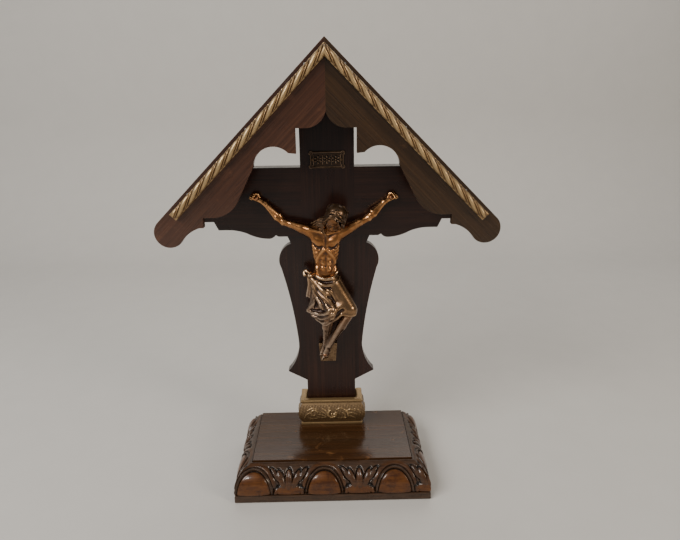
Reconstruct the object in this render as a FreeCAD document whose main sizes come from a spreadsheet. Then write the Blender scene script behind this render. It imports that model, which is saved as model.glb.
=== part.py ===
"""Roofed altar cross: a wooden cross on a carved base, with a gable roof and a cast figure.

The frame stands on the underside of the base: +Z is up, -Y is the front, and the origin is the
middle of the base's footprint.  All sizes are in millimetres.
"""
import FreeCAD, Part
import math
import os
import Sketcher

SIZES = {
    # overall
    "overall_height": 381.0,
    "base_width": 172.0,
    "base_depth": 91.0,
    "base_height": 33.0,
    # carved moulding round the base
    "moulding_run": 15.5,
    "moulding_foot": 7.2,
    "moulding_ledge": 1.8,
    "moulding_quirk": 1.4,
    # post and its stub tenon
    "post_width": 46.0,
    "post_thick": 16.0,
    "tenon_width": 34.0,
    "tenon_thick": 10.0,
    "tenon_length": 14.0,
    # gilt collar round the foot of the post
    "collar_height": 27.0,
    "collar_run": 6.8,
    "collar_fillet": 2.6,
    "collar_bulge": 2.4,
    "collar_quirk": 2.0,
    # cross arm
    "arm_drop": 99.0,
    "arm_depth": 60.4,
    "arm_half_length": 125.0,
    "arm_nose": 11.8,
    "arm_step": 100.0,
    "arm_step_run": 3.6,
    "arm_shoulder_depth": 53.8,
    "arm_belly": 53.0,
    "arm_belly_depth": 62.2,
    "arm_cusp": 46.5,
    "arm_cusp_run": 2.4,
    "arm_cusp_depth": 59.0,
    # wings beside the post, below the arm
    "wing_thick": 10.0,
    "wing_head": 14.4,
    "wing_neck": 11.0,
    "wing_neck_drop": 8.1,
    "wing_shoulder": 20.6,
    "wing_shoulder_drop": 31.0,
    "wing_waist": 7.1,
    "wing_waist_drop": 106.0,
    "wing_foot": 18.3,
    "wing_foot_drop": 136.2,
    "wing_length": 146.2,
    # roof
    "roof_pitch": 45.0,
    "roof_half_span": 139.6,
    "roof_depth": 57.0,
    "roof_thick": 6.0,
    "eave_setback": 3.0,
    "fascia_thick": 6.0,
    "fascia_tip_radius": 12.2,
    "fascia_clearance": 0.6,
    "fascia_step": 99.6,
    "fascia_step_run": 3.2,
    "fascia_step_drop": 141.0,
    "fascia_ogee": 14.0,
    "fascia_ogee_drop": 6.0,
    "fascia_lobe_drop": 132.8,
    "fascia_lobe_rise": 12.4,
    "fascia_arch": 57.0,
    "fascia_arch_drop": 93.2,
    "fascia_crown_drop": 78.0,
    "fascia_spring_drop": 83.6,
    "fascia_heel_drop": 64.4,
    "fascia_cusp_drop": 52.3,
    # rope moulding on the fascia
    "rope_width": 6.8,
    "rope_margin": 2.9,
    "rope_length_left": 176.0,
    "rope_length_right": 181.0,
    # figure, its foot block and nails
    "figure_height": 148.6,
    "figure_drop": 177.8,
    "figure_shift": -2.3,
    "foot_block_width": 17.0,
    "foot_block_taper": 1.5,
    "foot_block_height": 18.5,
    "foot_block_depth": 8.0,
    "foot_block_drop": 1.5,
    "nail_length": 11.0,
    "nail_radius": 0.8,
    "nail_head_radius": 1.7,
    "nail_head_height": 1.2,
    # title plaque
    "plaque_width": 30.0,
    "plaque_height": 14.6,
    "plaque_thick": 1.8,
    "plaque_lap": 1.0,
    "plaque_notch": 2.0,
    # hidden fasteners
    "screw_radius": 2.0,
    "screw_head_radius": 4.0,
    "screw_head_height": 3.0,
    "screw_recess": 1.5,
    "screw_length": 48.0,
    "screw_spacing": 20.0,
    "dowel_radius": 2.5,
    "dowel_length": 14.0,
    "pin_radius": 0.6,
    "pin_head_radius": 1.1,
    "pin_length": 16.0,
}

doc = FreeCAD.newDocument("altar_cross")
sheet = doc.addObject("Spreadsheet::Sheet", "Sizes")
for row, (alias, number) in enumerate(SIZES.items(), start=1):
    sheet.set(f"A{row}", alias)
    sheet.set(f"B{row}", str(number))
    sheet.setAlias(f"B{row}", alias)
doc.recompute()


class Dim:
    """A length held twice: as a number and as the sheet formula that gives it."""

    def __init__(self, value, text):
        self.value = value
        self.text = text

    @staticmethod
    def of(item):
        return item if isinstance(item, Dim) else Dim(float(item), repr(float(item)))

    def __add__(self, other):
        other = Dim.of(other)
        return Dim(self.value + other.value, f"({self.text} + {other.text})")

    def __sub__(self, other):
        other = Dim.of(other)
        return Dim(self.value - other.value, f"({self.text} - {other.text})")

    def __mul__(self, other):
        other = Dim.of(other)
        return Dim(self.value * other.value, f"({self.text} * {other.text})")

    def __truediv__(self, other):
        other = Dim.of(other)
        return Dim(self.value / other.value, f"({self.text} / {other.text})")

    def __neg__(self):
        return Dim(-self.value, f"(-1 * {self.text})")


class Via(tuple):
    """A point that the arc between its two neighbours in a path passes through."""


def size(alias):
    """The sheet's value called alias."""
    return Dim(float(sheet.get(alias)), f"Sizes.{alias}")


def number(alias):
    """The sheet's value called alias, as a plain number."""
    return float(sheet.get(alias))


# Places worked out once from the sheet and shared by the pieces that meet there.
ZERO = Dim(0.0, "0")
half_depth = size("base_depth") / 2
half_width = size("base_width") / 2
half_post = size("post_width") / 2
back = half_depth
post_front = back - size("post_thick")
fascia_front = back - size("roof_depth")
collar_top = size("base_height") + size("collar_height")

pitch = math.radians(number("roof_pitch"))
slope_sin = Dim(math.sin(pitch), "sin(Sizes.roof_pitch * 1 deg)")
slope_cos = Dim(math.cos(pitch), "cos(Sizes.roof_pitch * 1 deg)")
slope_tan = Dim(math.tan(pitch), "tan(Sizes.roof_pitch * 1 deg)")
roof_ridge = size("overall_height")
roof_inner_ridge = roof_ridge - size("roof_thick") / slope_cos
arm_top = roof_ridge - size("arm_drop")
arm_bottom = arm_top - size("arm_depth")
figure_foot = arm_top - size("figure_drop")


def new_body(label):
    """Add an empty body called label."""
    body = doc.addObject("PartDesign::Body", label)
    body.Label = label
    return body


def add_sketch(body, name, role, offset=ZERO):
    """Add a sketch on the body's own origin plane called role, moved offset along its normal."""
    plane = [item for item in body.Origin.OriginFeatures if item.Role == role][0]
    sketch = body.newObject("Sketcher::SketchObject", name)
    sketch.AttachmentSupport = [(plane, "")]
    sketch.MapMode = "FlatFace"
    sketch.setExpression("AttachmentOffset.Base.z", offset.text)
    return sketch


def bind(sketch, constraint, text):
    """Add a constraint whose value is the sheet formula text."""
    index = sketch.addConstraint(constraint)
    name = f"c{index}"
    sketch.renameConstraint(index, name)
    sketch.setExpression(f"Constraints.{name}", text)


def place_point(sketch, geometry, end, spot):
    """Hold one end of a sketch element at spot, measured from the sketch's origin."""
    for kind, axis, dim in (("DistanceX", -2, spot[0]), ("DistanceY", -1, spot[1])):
        if dim.value == 0:
            sketch.addConstraint(Sketcher.Constraint("PointOnObject", geometry, end, axis))
        elif dim.value > 0:
            bind(sketch, Sketcher.Constraint(kind, -1, 1, geometry, end, dim.value), dim.text)
        else:
            bind(sketch, Sketcher.Constraint(kind, geometry, end, -1, 1, -dim.value), (-dim).text)


def vector(spot):
    """A sketch point as a vector."""
    return FreeCAD.Vector(spot[0].value, spot[1].value, 0)


def draw(sketch, path):
    """Draw a closed outline of straight lines, and of arcs through each Via in path."""
    path = [type(spot)(map(Dim.of, spot)) for spot in path]
    steps = path + [path[0]]
    ends = []
    index = 0
    while index < len(path):
        start = steps[index]
        if isinstance(steps[index + 1], Via):
            via, stop = steps[index + 1], steps[index + 2]
            first, middle, last = vector(start), vector(via), vector(stop)
            forward = (middle - first).cross(last - middle).z > 0
            arc = Part.Arc(first, middle, last) if forward else Part.Arc(last, middle, first)
            geometry = sketch.addGeometry(arc, False)
            marker = sketch.addGeometry(Part.Point(middle), True)
            place_point(sketch, marker, 1, via)
            sketch.addConstraint(Sketcher.Constraint("PointOnObject", marker, 1, geometry))
            ends.append((geometry, 1, 2) if forward else (geometry, 2, 1))
            index += 2
        else:
            line = Part.LineSegment(vector(start), vector(steps[index + 1]))
            geometry = sketch.addGeometry(line, False)
            ends.append((geometry, 1, 2))
            index += 1
        place_point(sketch, geometry, ends[-1][1], start)
    for (before, _, stop), (after, start, _) in zip(ends, ends[1:] + ends[:1]):
        sketch.addConstraint(Sketcher.Constraint("Coincident", before, stop, after, start))


def between(start, stop, across, up):
    """The through-point of an arc, as shares of the way from start to stop in each direction."""
    return Via((start[0] + (stop[0] - start[0]) * across, start[1] + (stop[1] - start[1]) * up))


def rectangle(left, bottom, right, top):
    """The path of a rectangle between two corners."""
    return [(left, bottom), (right, bottom), (right, top), (left, top)]


def pad(body, sketch, length):
    """Grow the sketch by length along its normal."""
    feature = body.newObject("PartDesign::Pad", sketch.Name + "_pad")
    feature.Profile = sketch
    feature.setExpression("Length", length.text)
    sketch.Visibility = False
    body.Tip = feature
    return feature


def pocket(body, sketch, length, along_normal):
    """Cut the sketch into the body by length, and stop if nothing is cut."""
    doc.recompute()
    before = body.Shape.Volume
    feature = body.newObject("PartDesign::Pocket", sketch.Name + "_cut")
    feature.Profile = sketch
    feature.Reversed = along_normal
    feature.setExpression("Length", length.text)
    sketch.Visibility = False
    body.Tip = feature
    doc.recompute()
    if body.Shape.Volume > before - 1.0:
        raise RuntimeError(f"{feature.Name} cuts nothing")
    return feature


def front_view(label, path, thick, rear=back):
    """A board whose outline is drawn as seen from the front, from the plane rear forwards by thick."""
    body = new_body(label)
    sketch = add_sketch(body, label + "_outline", "XZ_Plane", -rear)
    draw(sketch, path)
    pad(body, sketch, thick)
    return body


def mirrored_x(path, side):
    """The path, turned over left for right where side is -1."""
    if side > 0:
        return path
    return [type(spot)((-Dim.of(spot[0]), Dim.of(spot[1]))) for spot in path]


def node_feature(label, solids):
    """A node that holds loose solids, such as a set of identical fasteners."""
    feature = doc.addObject("Part::Feature", label)
    feature.Label = label
    feature.Shape = Part.Compound(solids)
    return feature


def drilled(label, blank, fasteners):
    """The blank with a hole for each of the fasteners that enters it."""
    blank.Label = label + "_blank"
    tool = doc.addObject("Part::Compound", label + "_holes")
    tool.Links = fasteners
    cut = doc.addObject("Part::Cut", label)
    cut.Label = label
    cut.Base = blank
    cut.Tool = tool
    return cut


# ---------------------------------------------------------------- fasteners
def pin(start, direction, length, head=True):
    """A panel pin that starts at start, flush with the surface, and points along direction."""
    start = FreeCAD.Vector(*start)
    direction = FreeCAD.Vector(*direction)
    shank = Part.makeCylinder(number("pin_radius"), length, start, direction)
    if not head:
        return shank
    cap = Part.makeCylinder(number("pin_head_radius"), number("pin_radius"), start, direction)
    return shank.fuse(cap).removeSplitter()


def screw(x):
    """A countersunk wood screw driven up through the base into the post."""
    y = back.value - number("post_thick") / 2
    seat = number("screw_recess") + number("screw_head_height")
    shank_length = number("screw_length") - number("screw_head_height")
    low, high = FreeCAD.Vector(x, y, number("screw_recess")), FreeCAD.Vector(x, y, seat)
    head = Part.makeCone(number("screw_head_radius"), number("screw_radius"),
                         number("screw_head_height"), low)
    shank = Part.makeCylinder(number("screw_radius"), shank_length, high)
    return head.fuse(shank).removeSplitter()


def make_post_screws():
    """Two screws, side by side."""
    spread = number("screw_spacing") / 2
    return node_feature("post_screws", [screw(-spread), screw(spread)])


def make_wing_dowels():
    """Two dowels on each side, half in the post and half in the wing."""
    length = number("dowel_length")
    y = back.value - number("wing_thick") / 2
    heights = [arm_bottom.value - number("wing_shoulder_drop"), arm_bottom.value - number("wing_foot_drop")]
    solids = []
    for side in (-1, 1):
        for height in heights:
            middle = side * half_post.value
            corner = FreeCAD.Vector(middle - length / 2, y, height)
            along = FreeCAD.Vector(1, 0, 0)
            solids.append(Part.makeCylinder(number("dowel_radius"), length, corner, along))
    return node_feature("wing_dowels", solids)


# Where the pins stand, as shares of the length they are spread over.
PIN_HEIGHT_IN_BASE = 0.4
FRONT_PIN_SHARES = (-0.66, -0.22, 0.22, 0.66)
SIDE_PIN_SHARES = (-0.4, 0.6)
COLLAR_PIN_SHARES = (-0.5, 0.5)
POST_TOP_PIN_SHARE = 0.6
ARM_PIN_SHARES = (0.25, 0.75)
FASCIA_PIN_SHARES = (0.12, 0.45, 0.8)


def make_moulding_pins():
    """Blind pins that hold the carved mouldings to the edges of the base board."""
    length = number("pin_length")
    height = number("base_height") * PIN_HEIGHT_IN_BASE
    edge_x = half_width.value - number("moulding_run")
    edge_y = -half_depth.value + number("moulding_run")
    solids = []
    for share in FRONT_PIN_SHARES:
        start = (share * edge_x, edge_y + length / 2, height)
        solids.append(pin(start, (0, -1, 0), length, head=False))
    for side in (-1, 1):
        for share in SIDE_PIN_SHARES:
            start = (side * (edge_x - length / 2), share * half_depth.value, height)
            solids.append(pin(start, (side, 0, 0), length, head=False))
    return node_feature("moulding_pins", solids)


def make_collar_pins():
    """Blind pins that hold the collar to the post."""
    bite = number("pin_length") / 4
    length = number("collar_run") + bite
    height = number("base_height") + number("collar_height") / 2
    middle = (back.value + post_front.value) / 2
    solids = []
    for share in COLLAR_PIN_SHARES:
        start = (share * half_post.value, post_front.value + bite, height)
        solids.append(pin(start, (0, -1, 0), length, head=False))
    for side in (-1, 1):
        start = (side * (half_post.value - bite), middle, height)
        solids.append(pin(start, (side, 0, 0), length, head=False))
    return node_feature("collar_pins", solids)


def slope_point(side, along, below, y):
    """The point along down the slope of one side of the roof, and below its outer surface."""
    x = along * math.cos(pitch) - below * math.sin(pitch)
    z = roof_ridge.value - along * math.sin(pitch) - below * math.cos(pitch)
    return (side * x, y, z)


def make_roof_pins():
    """Pins through each roof board, into the post's top and the arm's end."""
    y = back.value - number("post_thick") / 2
    arm_start = (roof_inner_ridge.value - arm_top.value) / math.tan(pitch)
    meeting = number("arm_half_length") - arm_start
    stations = [half_post.value * POST_TOP_PIN_SHARE]
    stations += [arm_start + meeting * share for share in ARM_PIN_SHARES]
    solids = []
    for side in (-1, 1):
        inward = (-side * math.sin(pitch), 0, -math.cos(pitch))
        for station in stations:
            start = slope_point(side, station / math.cos(pitch), 0, y)
            solids.append(pin(start, inward, number("pin_length")))
    return node_feature("roof_pins", solids)


def make_fascia_pins():
    """Pins through each fascia, along the middle of the roof board's front edge."""
    run = number("roof_half_span") / math.cos(pitch)
    solids = []
    for side in (-1, 1):
        for share in FASCIA_PIN_SHARES:
            start = slope_point(side, share * run, number("roof_thick") / 2, fascia_front.value)
            solids.append(pin(start, (0, 1, 0), number("pin_length")))
    return node_feature("fascia_pins", solids)


# ---------------------------------------------------------------- base
def moulding_section(inner, outer, foot):
    """The carved moulding's section: a foot fillet, a ledge and a swelling ovolo up to the quirk.

    inner and outer are the section's two ends across, and foot is the bottom's height.
    """
    run = outer - inner
    top = foot + size("base_height")
    bulge_across, bulge_up = 0.66, 0.72
    ledge = foot + size("moulding_foot")
    quirk = size("moulding_quirk")
    rise = top - quirk - ledge
    swell = Via((inner + run * bulge_across, ledge + rise * bulge_up))
    return [
        (inner, foot), (outer, foot), (outer, ledge), (outer - size("moulding_ledge"), ledge),
        swell, (inner + quirk, top - quirk), (inner, top - quirk),
    ]


def make_base(fasteners):
    """The base board with its mortise, and the mitred mouldings on three edges."""
    run = size("moulding_run")
    inner_x = half_width - run
    inner_front = run - half_depth

    board = new_body("base_board")
    plan = add_sketch(board, "board_plan", "XY_Plane")
    draw(plan, rectangle(-inner_x, inner_front, inner_x, back))
    pad(board, plan, size("base_height"))
    mortise = add_sketch(board, "mortise", "XY_Plane", size("base_height"))
    tenon_back = back - (size("post_thick") - size("tenon_thick")) / 2
    half_tenon = size("tenon_width") / 2
    draw(mortise, rectangle(-half_tenon, tenon_back - size("tenon_thick"), half_tenon, tenon_back))
    pocket(board, mortise, size("tenon_length"), along_normal=False)
    recess = add_sketch(board, "screw_recesses", "XY_Plane")
    seat = back - size("post_thick") / 2
    for side in (-1, 1):
        spot = (size("screw_spacing") / 2 * side, seat)
        radius = size("screw_head_radius")
        circle = Part.Circle(vector(spot), FreeCAD.Vector(0, 0, 1), radius.value)
        geometry = recess.addGeometry(circle, False)
        place_point(recess, geometry, 3, spot)
        bind(recess, Sketcher.Constraint("Radius", geometry, radius.value), radius.text)
    pocket(board, recess, size("screw_recess"), along_normal=True)

    entering = [fasteners["post_screws"], fasteners["moulding_pins"]]
    nodes = [drilled("base_board", board, entering)]

    front = new_body("base_moulding_front")
    section = add_sketch(front, "front_section", "YZ_Plane", -half_width)
    draw(section, mirrored_x(moulding_section(-inner_front, half_depth, ZERO), -1))
    pad(front, section, size("base_width"))
    ends = add_sketch(front, "front_mitres", "XY_Plane")
    corner = [(half_width, -half_depth), (half_width, inner_front), (inner_x, inner_front)]
    for side in (-1, 1):
        draw(ends, mirrored_x(corner, side))
    pocket(front, ends, size("base_height"), along_normal=True)
    nodes.append(drilled("base_moulding_front", front, [fasteners["moulding_pins"]]))

    for side, word in ((-1, "left"), (1, "right")):
        label = "base_moulding_" + word
        path = mirrored_x(moulding_section(inner_x, half_width, ZERO), side)
        body = front_view(label, path, size("base_depth"))
        mitre = add_sketch(body, word + "_mitre", "XY_Plane")
        corner = [(inner_x, inner_front), (inner_x, -half_depth), (half_width, -half_depth)]
        draw(mitre, mirrored_x(corner, side))
        pocket(body, mitre, size("base_height"), along_normal=True)
        nodes.append(drilled(label, body, [fasteners["moulding_pins"]]))
    return nodes


# ---------------------------------------------------------------- collar
def collar_section(inner, outer):
    """The collar's section: two fillets with a torus swelling between them."""
    foot = size("base_height")
    fillet = size("collar_fillet")
    quirk = size("collar_quirk")
    low, high = foot + fillet, collar_top - fillet
    middle = (foot + collar_top) / 2
    neck = outer - quirk
    return [
        (inner, foot), (outer, foot), (outer, low), (neck, low),
        Via((outer + size("collar_bulge"), middle)),
        (neck, high), (outer, high), (outer, collar_top), (inner, collar_top),
    ]


def make_collar(fasteners):
    """The collar's mitred front and sides."""
    run = size("collar_run")
    reach = run + size("collar_bulge")
    outer_x, outer_front = half_post + run, post_front - run
    far_x, far_front = half_post + reach, post_front - reach

    front = new_body("collar_front")
    section = add_sketch(front, "collar_section", "YZ_Plane", -far_x)
    draw(section, [type(spot)((post_front - spot[0], spot[1])) for spot in collar_section(ZERO, run)])
    pad(front, section, far_x * 2)
    ends = add_sketch(front, "collar_mitres", "XY_Plane", size("base_height"))
    corner = [(far_x, far_front), (far_x, post_front), (half_post, post_front)]
    for side in (-1, 1):
        draw(ends, mirrored_x(corner, side))
    pocket(front, ends, size("collar_height"), along_normal=True)
    nodes = [drilled("collar_front", front, [fasteners["collar_pins"]])]

    for side, word in ((-1, "left"), (1, "right")):
        label = "collar_" + word
        path = mirrored_x(collar_section(half_post, outer_x), side)
        body = front_view(label, path, back - far_front)
        mitre = add_sketch(body, word + "_collar_mitre", "XY_Plane", size("base_height"))
        corner = [(half_post, post_front), (half_post, far_front), (far_x, far_front)]
        draw(mitre, mirrored_x(corner, side))
        pocket(body, mitre, size("collar_height"), along_normal=True)
        nodes.append(drilled(label, body, [fasteners["collar_pins"]]))
    return nodes


# ---------------------------------------------------------------- cross
def make_post(fasteners):
    """The post: a gabled top, a stub tenon, and the rear half of its lap cut away for the arm."""
    gable = roof_inner_ridge - half_post * slope_tan
    foot = size("base_height")
    outline = [(-half_post, foot), (half_post, foot), (half_post, gable), (ZERO, roof_inner_ridge),
               (-half_post, gable)]
    post = front_view("post", outline, size("post_thick"))
    tenon = add_sketch(post, "tenon", "XY_Plane", foot)
    tenon_back = back - (size("post_thick") - size("tenon_thick")) / 2
    half_tenon = size("tenon_width") / 2
    draw(tenon, rectangle(-half_tenon, tenon_back - size("tenon_thick"), half_tenon, tenon_back))
    feature = pad(post, tenon, size("tenon_length"))
    feature.Reversed = True
    lap = add_sketch(post, "post_lap", "XZ_Plane", -back)
    draw(lap, rectangle(-half_post, arm_bottom, half_post, arm_top))
    pocket(post, lap, size("post_thick") / 2, along_normal=True)
    entering = ("post_screws", "wing_dowels", "collar_pins", "roof_pins", "feet_nail", "plaque_pins")
    return drilled("post", post, [fasteners[name] for name in entering])


def make_cross_arm(fasteners):
    """The arm: one half drawn and mirrored, with the front half of its lap cut away for the post."""
    top = arm_top
    turn_across, turn_lift, flat_across = 0.86, 0.9, 1.65
    tip = size("arm_half_length")
    tip_top = roof_inner_ridge - tip * slope_tan
    end_low = tip_top - size("arm_nose")
    shoulder = top - size("arm_shoulder_depth")
    belly = top - size("arm_belly_depth")
    step, cusp_x, belly_x = size("arm_step"), size("arm_cusp"), size("arm_belly")
    cusp = top - size("arm_cusp_depth")
    swing = (step - size("arm_step_run") - belly_x) / 2
    turn_x, turn_z = belly_x + swing * turn_across, (shoulder + belly) / 2 + turn_lift
    flat_x = belly_x + swing * flat_across
    path = [
        (ZERO, arm_bottom), (cusp_x - size("arm_cusp_run"), arm_bottom), (cusp_x, cusp),
        between((cusp_x, cusp), (belly_x, belly), 0.45, 0.78), (belly_x, belly),
        between((belly_x, belly), (turn_x, turn_z), 0.56, 0.33), (turn_x, turn_z),
        between((turn_x, turn_z), (flat_x, shoulder), 0.45, 0.72), (flat_x, shoulder),
        (step - size("arm_step_run"), shoulder), (step, end_low), (tip, end_low),
        (tip, tip_top), ((roof_inner_ridge - top) / slope_tan, top), (ZERO, top),
    ]
    arm = front_view("cross_arm", path, size("post_thick"))
    doc.recompute()
    mirror = arm.newObject("PartDesign::Mirrored", "other_half")
    mirror.Originals = [arm.Tip]
    plane = [item for item in arm.Origin.OriginFeatures if item.Role == "YZ_Plane"][0]
    mirror.MirrorPlane = (plane, [""])
    arm.Tip = mirror
    lap = add_sketch(arm, "arm_lap", "XZ_Plane", -post_front)
    draw(lap, rectangle(-half_post, arm_bottom, half_post, top))
    pocket(arm, lap, size("post_thick") / 2, along_normal=False)
    entering = ("roof_pins", "hand_nail_left", "hand_nail_right")
    return drilled("cross_arm", arm, [fasteners[name] for name in entering])


def wing_spot(name):
    """The point of a wing's outline called name, from its reach and its drop below the arm."""
    return (half_post + size("wing_" + name), arm_bottom - size(f"wing_{name}_drop"))


def make_wing(side, word, fasteners):
    """One shaped wing, its back flush with the post's."""
    neck, shoulder, waist, foot = map(wing_spot, ("neck", "shoulder", "waist", "foot"))
    path = [
        (half_post, arm_bottom - size("wing_length")), foot,
        between(foot, waist, 0.8, 0.5), waist,
        between(waist, shoulder, 0.41, 0.54), shoulder,
        between(shoulder, neck, 0.01, 0.64), neck,
        (half_post + size("wing_head"), arm_bottom), (half_post, arm_bottom),
    ]
    label = "wing_" + word
    body = front_view(label, mirrored_x(path, side), size("wing_thick"))
    return drilled(label, body, [fasteners["wing_dowels"]])


# ---------------------------------------------------------------- roof
def make_roof_board(side, word, fasteners):
    """One sloping roof board, with a plumb cut at the ridge and a square cut at the eave."""
    thick = size("roof_thick")
    tip_radius = size("fascia_tip_radius")
    length = (size("roof_half_span") - tip_radius) / slope_cos + tip_radius - size("eave_setback")
    outer = (length * slope_cos, roof_ridge - length * slope_sin)
    inner = (outer[0] - thick * slope_sin, outer[1] - thick * slope_cos)
    path = [(ZERO, roof_inner_ridge), inner, outer, (ZERO, roof_ridge)]
    label = "roof_board_" + word
    body = front_view(label, mirrored_x(path, side), size("roof_depth") - size("fascia_thick"))
    return drilled(label, body, [fasteners["roof_pins"], fasteners["fascia_pins"]])


def make_fascia(side, word, fasteners):
    """One fretted fascia: a round tip, an ogee to the step, the big lobe, the arch and the small lobe."""
    radius = size("fascia_tip_radius")
    centre_x = size("roof_half_span") - radius
    centre_z = roof_ridge - centre_x * slope_tan - radius / slope_cos
    half_root = math.sqrt(0.5)
    step_x, step_z = size("fascia_step"), roof_ridge - size("fascia_step_drop")
    lobe_z = roof_ridge - size("fascia_lobe_drop")
    arch_x, arch_z = size("fascia_arch"), roof_ridge - size("fascia_arch_drop")
    crown_z, spring_z = roof_ridge - size("fascia_crown_drop"), roof_ridge - size("fascia_spring_drop")
    heel_z, cusp_z = roof_ridge - size("fascia_heel_drop"), roof_ridge - size("fascia_cusp_drop")
    inner_x = half_post + size("fascia_clearance")
    lobe_run = step_x - arch_x
    lobe_start = (arch_x + lobe_run * 0.78, lobe_z)
    lobe_end = (arch_x + lobe_run * 0.33, lobe_z + size("fascia_lobe_rise"))
    arch_end = (inner_x + (arch_x - inner_x) * 0.18, spring_z + (crown_z - spring_z) / 8)
    heel = (inner_x * 0.6, heel_z)
    ogee = Via((step_x + size("fascia_ogee"), step_z - size("fascia_ogee_drop")))
    path = [
        (ZERO, cusp_z), (ZERO, roof_ridge),
        (centre_x + radius * slope_sin, centre_z + radius * slope_cos),
        Via((centre_x + radius * half_root, centre_z - radius * half_root)),
        (centre_x - radius * half_root, centre_z - radius * half_root),
        ogee, (step_x + size("fascia_step_run"), step_z), (step_x, step_z), (step_x, lobe_z),
        lobe_start, between(lobe_start, lobe_end, 0.55, 0.27), lobe_end,
        (arch_x, arch_z), between((arch_x, arch_z), (inner_x, crown_z), 0.34, 0.96), arch_end,
        (inner_x, spring_z), (inner_x, heel_z), heel,
        between(heel, (ZERO, cusp_z), 0.57, 0.26),
    ]
    label = "fascia_" + word
    body = front_view(label, mirrored_x(path, side), size("fascia_thick"),
                      rear=fascia_front + size("fascia_thick"))
    return drilled(label, body, [fasteners["fascia_pins"]])


def make_rope(side, word):
    """One rope moulding: a half-round laid just inside the fascia's upper edge, mitred at the ridge."""
    radius = number("rope_width") / 2
    below = number("rope_margin") + radius
    length = number("rope_length_" + word)
    start = slope_point(side, 0.0, below, fascia_front.value)
    direction = FreeCAD.Vector(side * math.cos(pitch), 0, -math.sin(pitch))
    rod = Part.makeCylinder(radius, length, FreeCAD.Vector(*start), direction)
    end = FreeCAD.Vector(*start) + direction * length
    rod = rod.fuse(Part.makeSphere(radius, end)).removeSplitter()
    room = number("overall_height")
    left = -room if side < 0 else 0.0
    half_space = Part.makeBox(room, room, room, FreeCAD.Vector(left, fascia_front.value - room, 0))
    feature = doc.addObject("Part::Feature", "rope_" + word)
    feature.Label = "rope_" + word
    feature.Shape = rod.common(half_space)
    return feature


# ---------------------------------------------------------------- nails and plaque
def make_nail(label, x, z, seat):
    """A dome-headed nail driven into the wood at x, z, with its head seated at the depth seat."""
    body = new_body(label)
    sketch = add_sketch(body, label + "_profile", "XY_Plane")
    shank, cap = size("nail_radius"), size("nail_head_radius")
    rise = size("nail_head_height")
    length = size("nail_length")
    draw(sketch, [
        (ZERO, -rise), between((ZERO, -rise), (cap, ZERO), 0.72, 0.32), (cap, ZERO),
        (shank, ZERO), (shank, length), (ZERO, length + shank),
    ])
    turned = body.newObject("PartDesign::Revolution", label + "_turned")
    turned.Profile = sketch
    turned.ReferenceAxis = (sketch, ["V_Axis"])
    turned.Angle = 360.0
    sketch.Visibility = False
    body.Tip = turned
    body.setExpression("Placement.Base.x", x.text)
    body.setExpression("Placement.Base.y", seat.text)
    body.setExpression("Placement.Base.z", z.text)
    return body


def make_foot_block(fasteners):
    """The tapered block that the figure's feet rest on."""
    half = size("foot_block_width") / 2
    bottom = figure_foot - size("foot_block_drop")
    middle = size("figure_shift")
    narrow = half - size("foot_block_taper")
    top = bottom + size("foot_block_height")
    path = [
        (middle - narrow, bottom), (middle + narrow, bottom),
        (middle + half, top), (middle - half, top),
    ]
    body = front_view("foot_block", path, size("foot_block_depth"), rear=post_front)
    return drilled("foot_block", body, [fasteners["feet_nail"]])


def plaque_middle():
    """The height of the middle of the title plaque, whose lower edge laps the arm."""
    return arm_top - size("plaque_lap") + size("plaque_height") / 2


def make_plaque(fasteners):
    """The title plaque: a small plate with notched scroll ends."""
    half_x, half_z = size("plaque_width") / 2, size("plaque_height") / 2
    middle = plaque_middle()
    notch = size("plaque_notch")
    path = []
    for side_x, side_z in ((1, 1), (-1, 1), (-1, -1), (1, -1)):
        far, near = half_x * side_x, (half_x - notch) * side_x
        high, low = middle + half_z * side_z, middle + (half_z - notch) * side_z
        corner = [(far, low), (near, low), (near, high)]
        path += corner if side_x == side_z else corner[::-1]
    body = front_view("title_plaque", path, size("plaque_thick"), rear=post_front)
    return drilled("title_plaque", body, [fasteners["plaque_pins"]])


def make_plaque_pins():
    """A pin at each end of the plaque."""
    reach = number("plaque_width") / 2 - number("plaque_notch") - number("pin_head_radius")
    height = plaque_middle().value
    start_y = post_front.value - number("plaque_thick")
    solids = [pin((side * reach, start_y, height), (0, 1, 0), number("pin_length") / 2) for side in (-1, 1)]
    return node_feature("plaque_pins", solids)


# ---------------------------------------------------------------- figure
# The figure's joints as shares of its height: across, forward of the wood, and up from the feet.
JOINTS = {
    "crown": (0.063, 0.148, 0.954), "chin": (0.037, 0.182, 0.877),
    "neck": (0.015, 0.087, 0.847), "chest": (-0.005, 0.091, 0.773),
    "waist": (-0.007, 0.081, 0.651), "hips": (-0.011, 0.084, 0.544),
    "left_shoulder": (-0.099, 0.067, 0.847), "right_shoulder": (0.100, 0.067, 0.840),
    "left_elbow": (-0.244, 0.057, 0.894), "right_elbow": (0.251, 0.054, 0.910),
    "left_wrist": (-0.348, 0.034, 1.003), "right_wrist": (0.341, 0.034, 0.998),
    "left_hand": (-0.395, 0.022, 1.028), "right_hand": (0.381, 0.022, 1.022),
    "left_hip": (-0.038, 0.087, 0.517), "right_hip": (0.039, 0.087, 0.524),
    "left_knee": (0.022, 0.182, 0.369), "right_knee": (0.140, 0.155, 0.379),
    "left_ankle": (-0.022, 0.091, 0.106), "right_ankle": (0.009, 0.108, 0.103),
    "toes": (-0.020, 0.076, 0.029),
}
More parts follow.
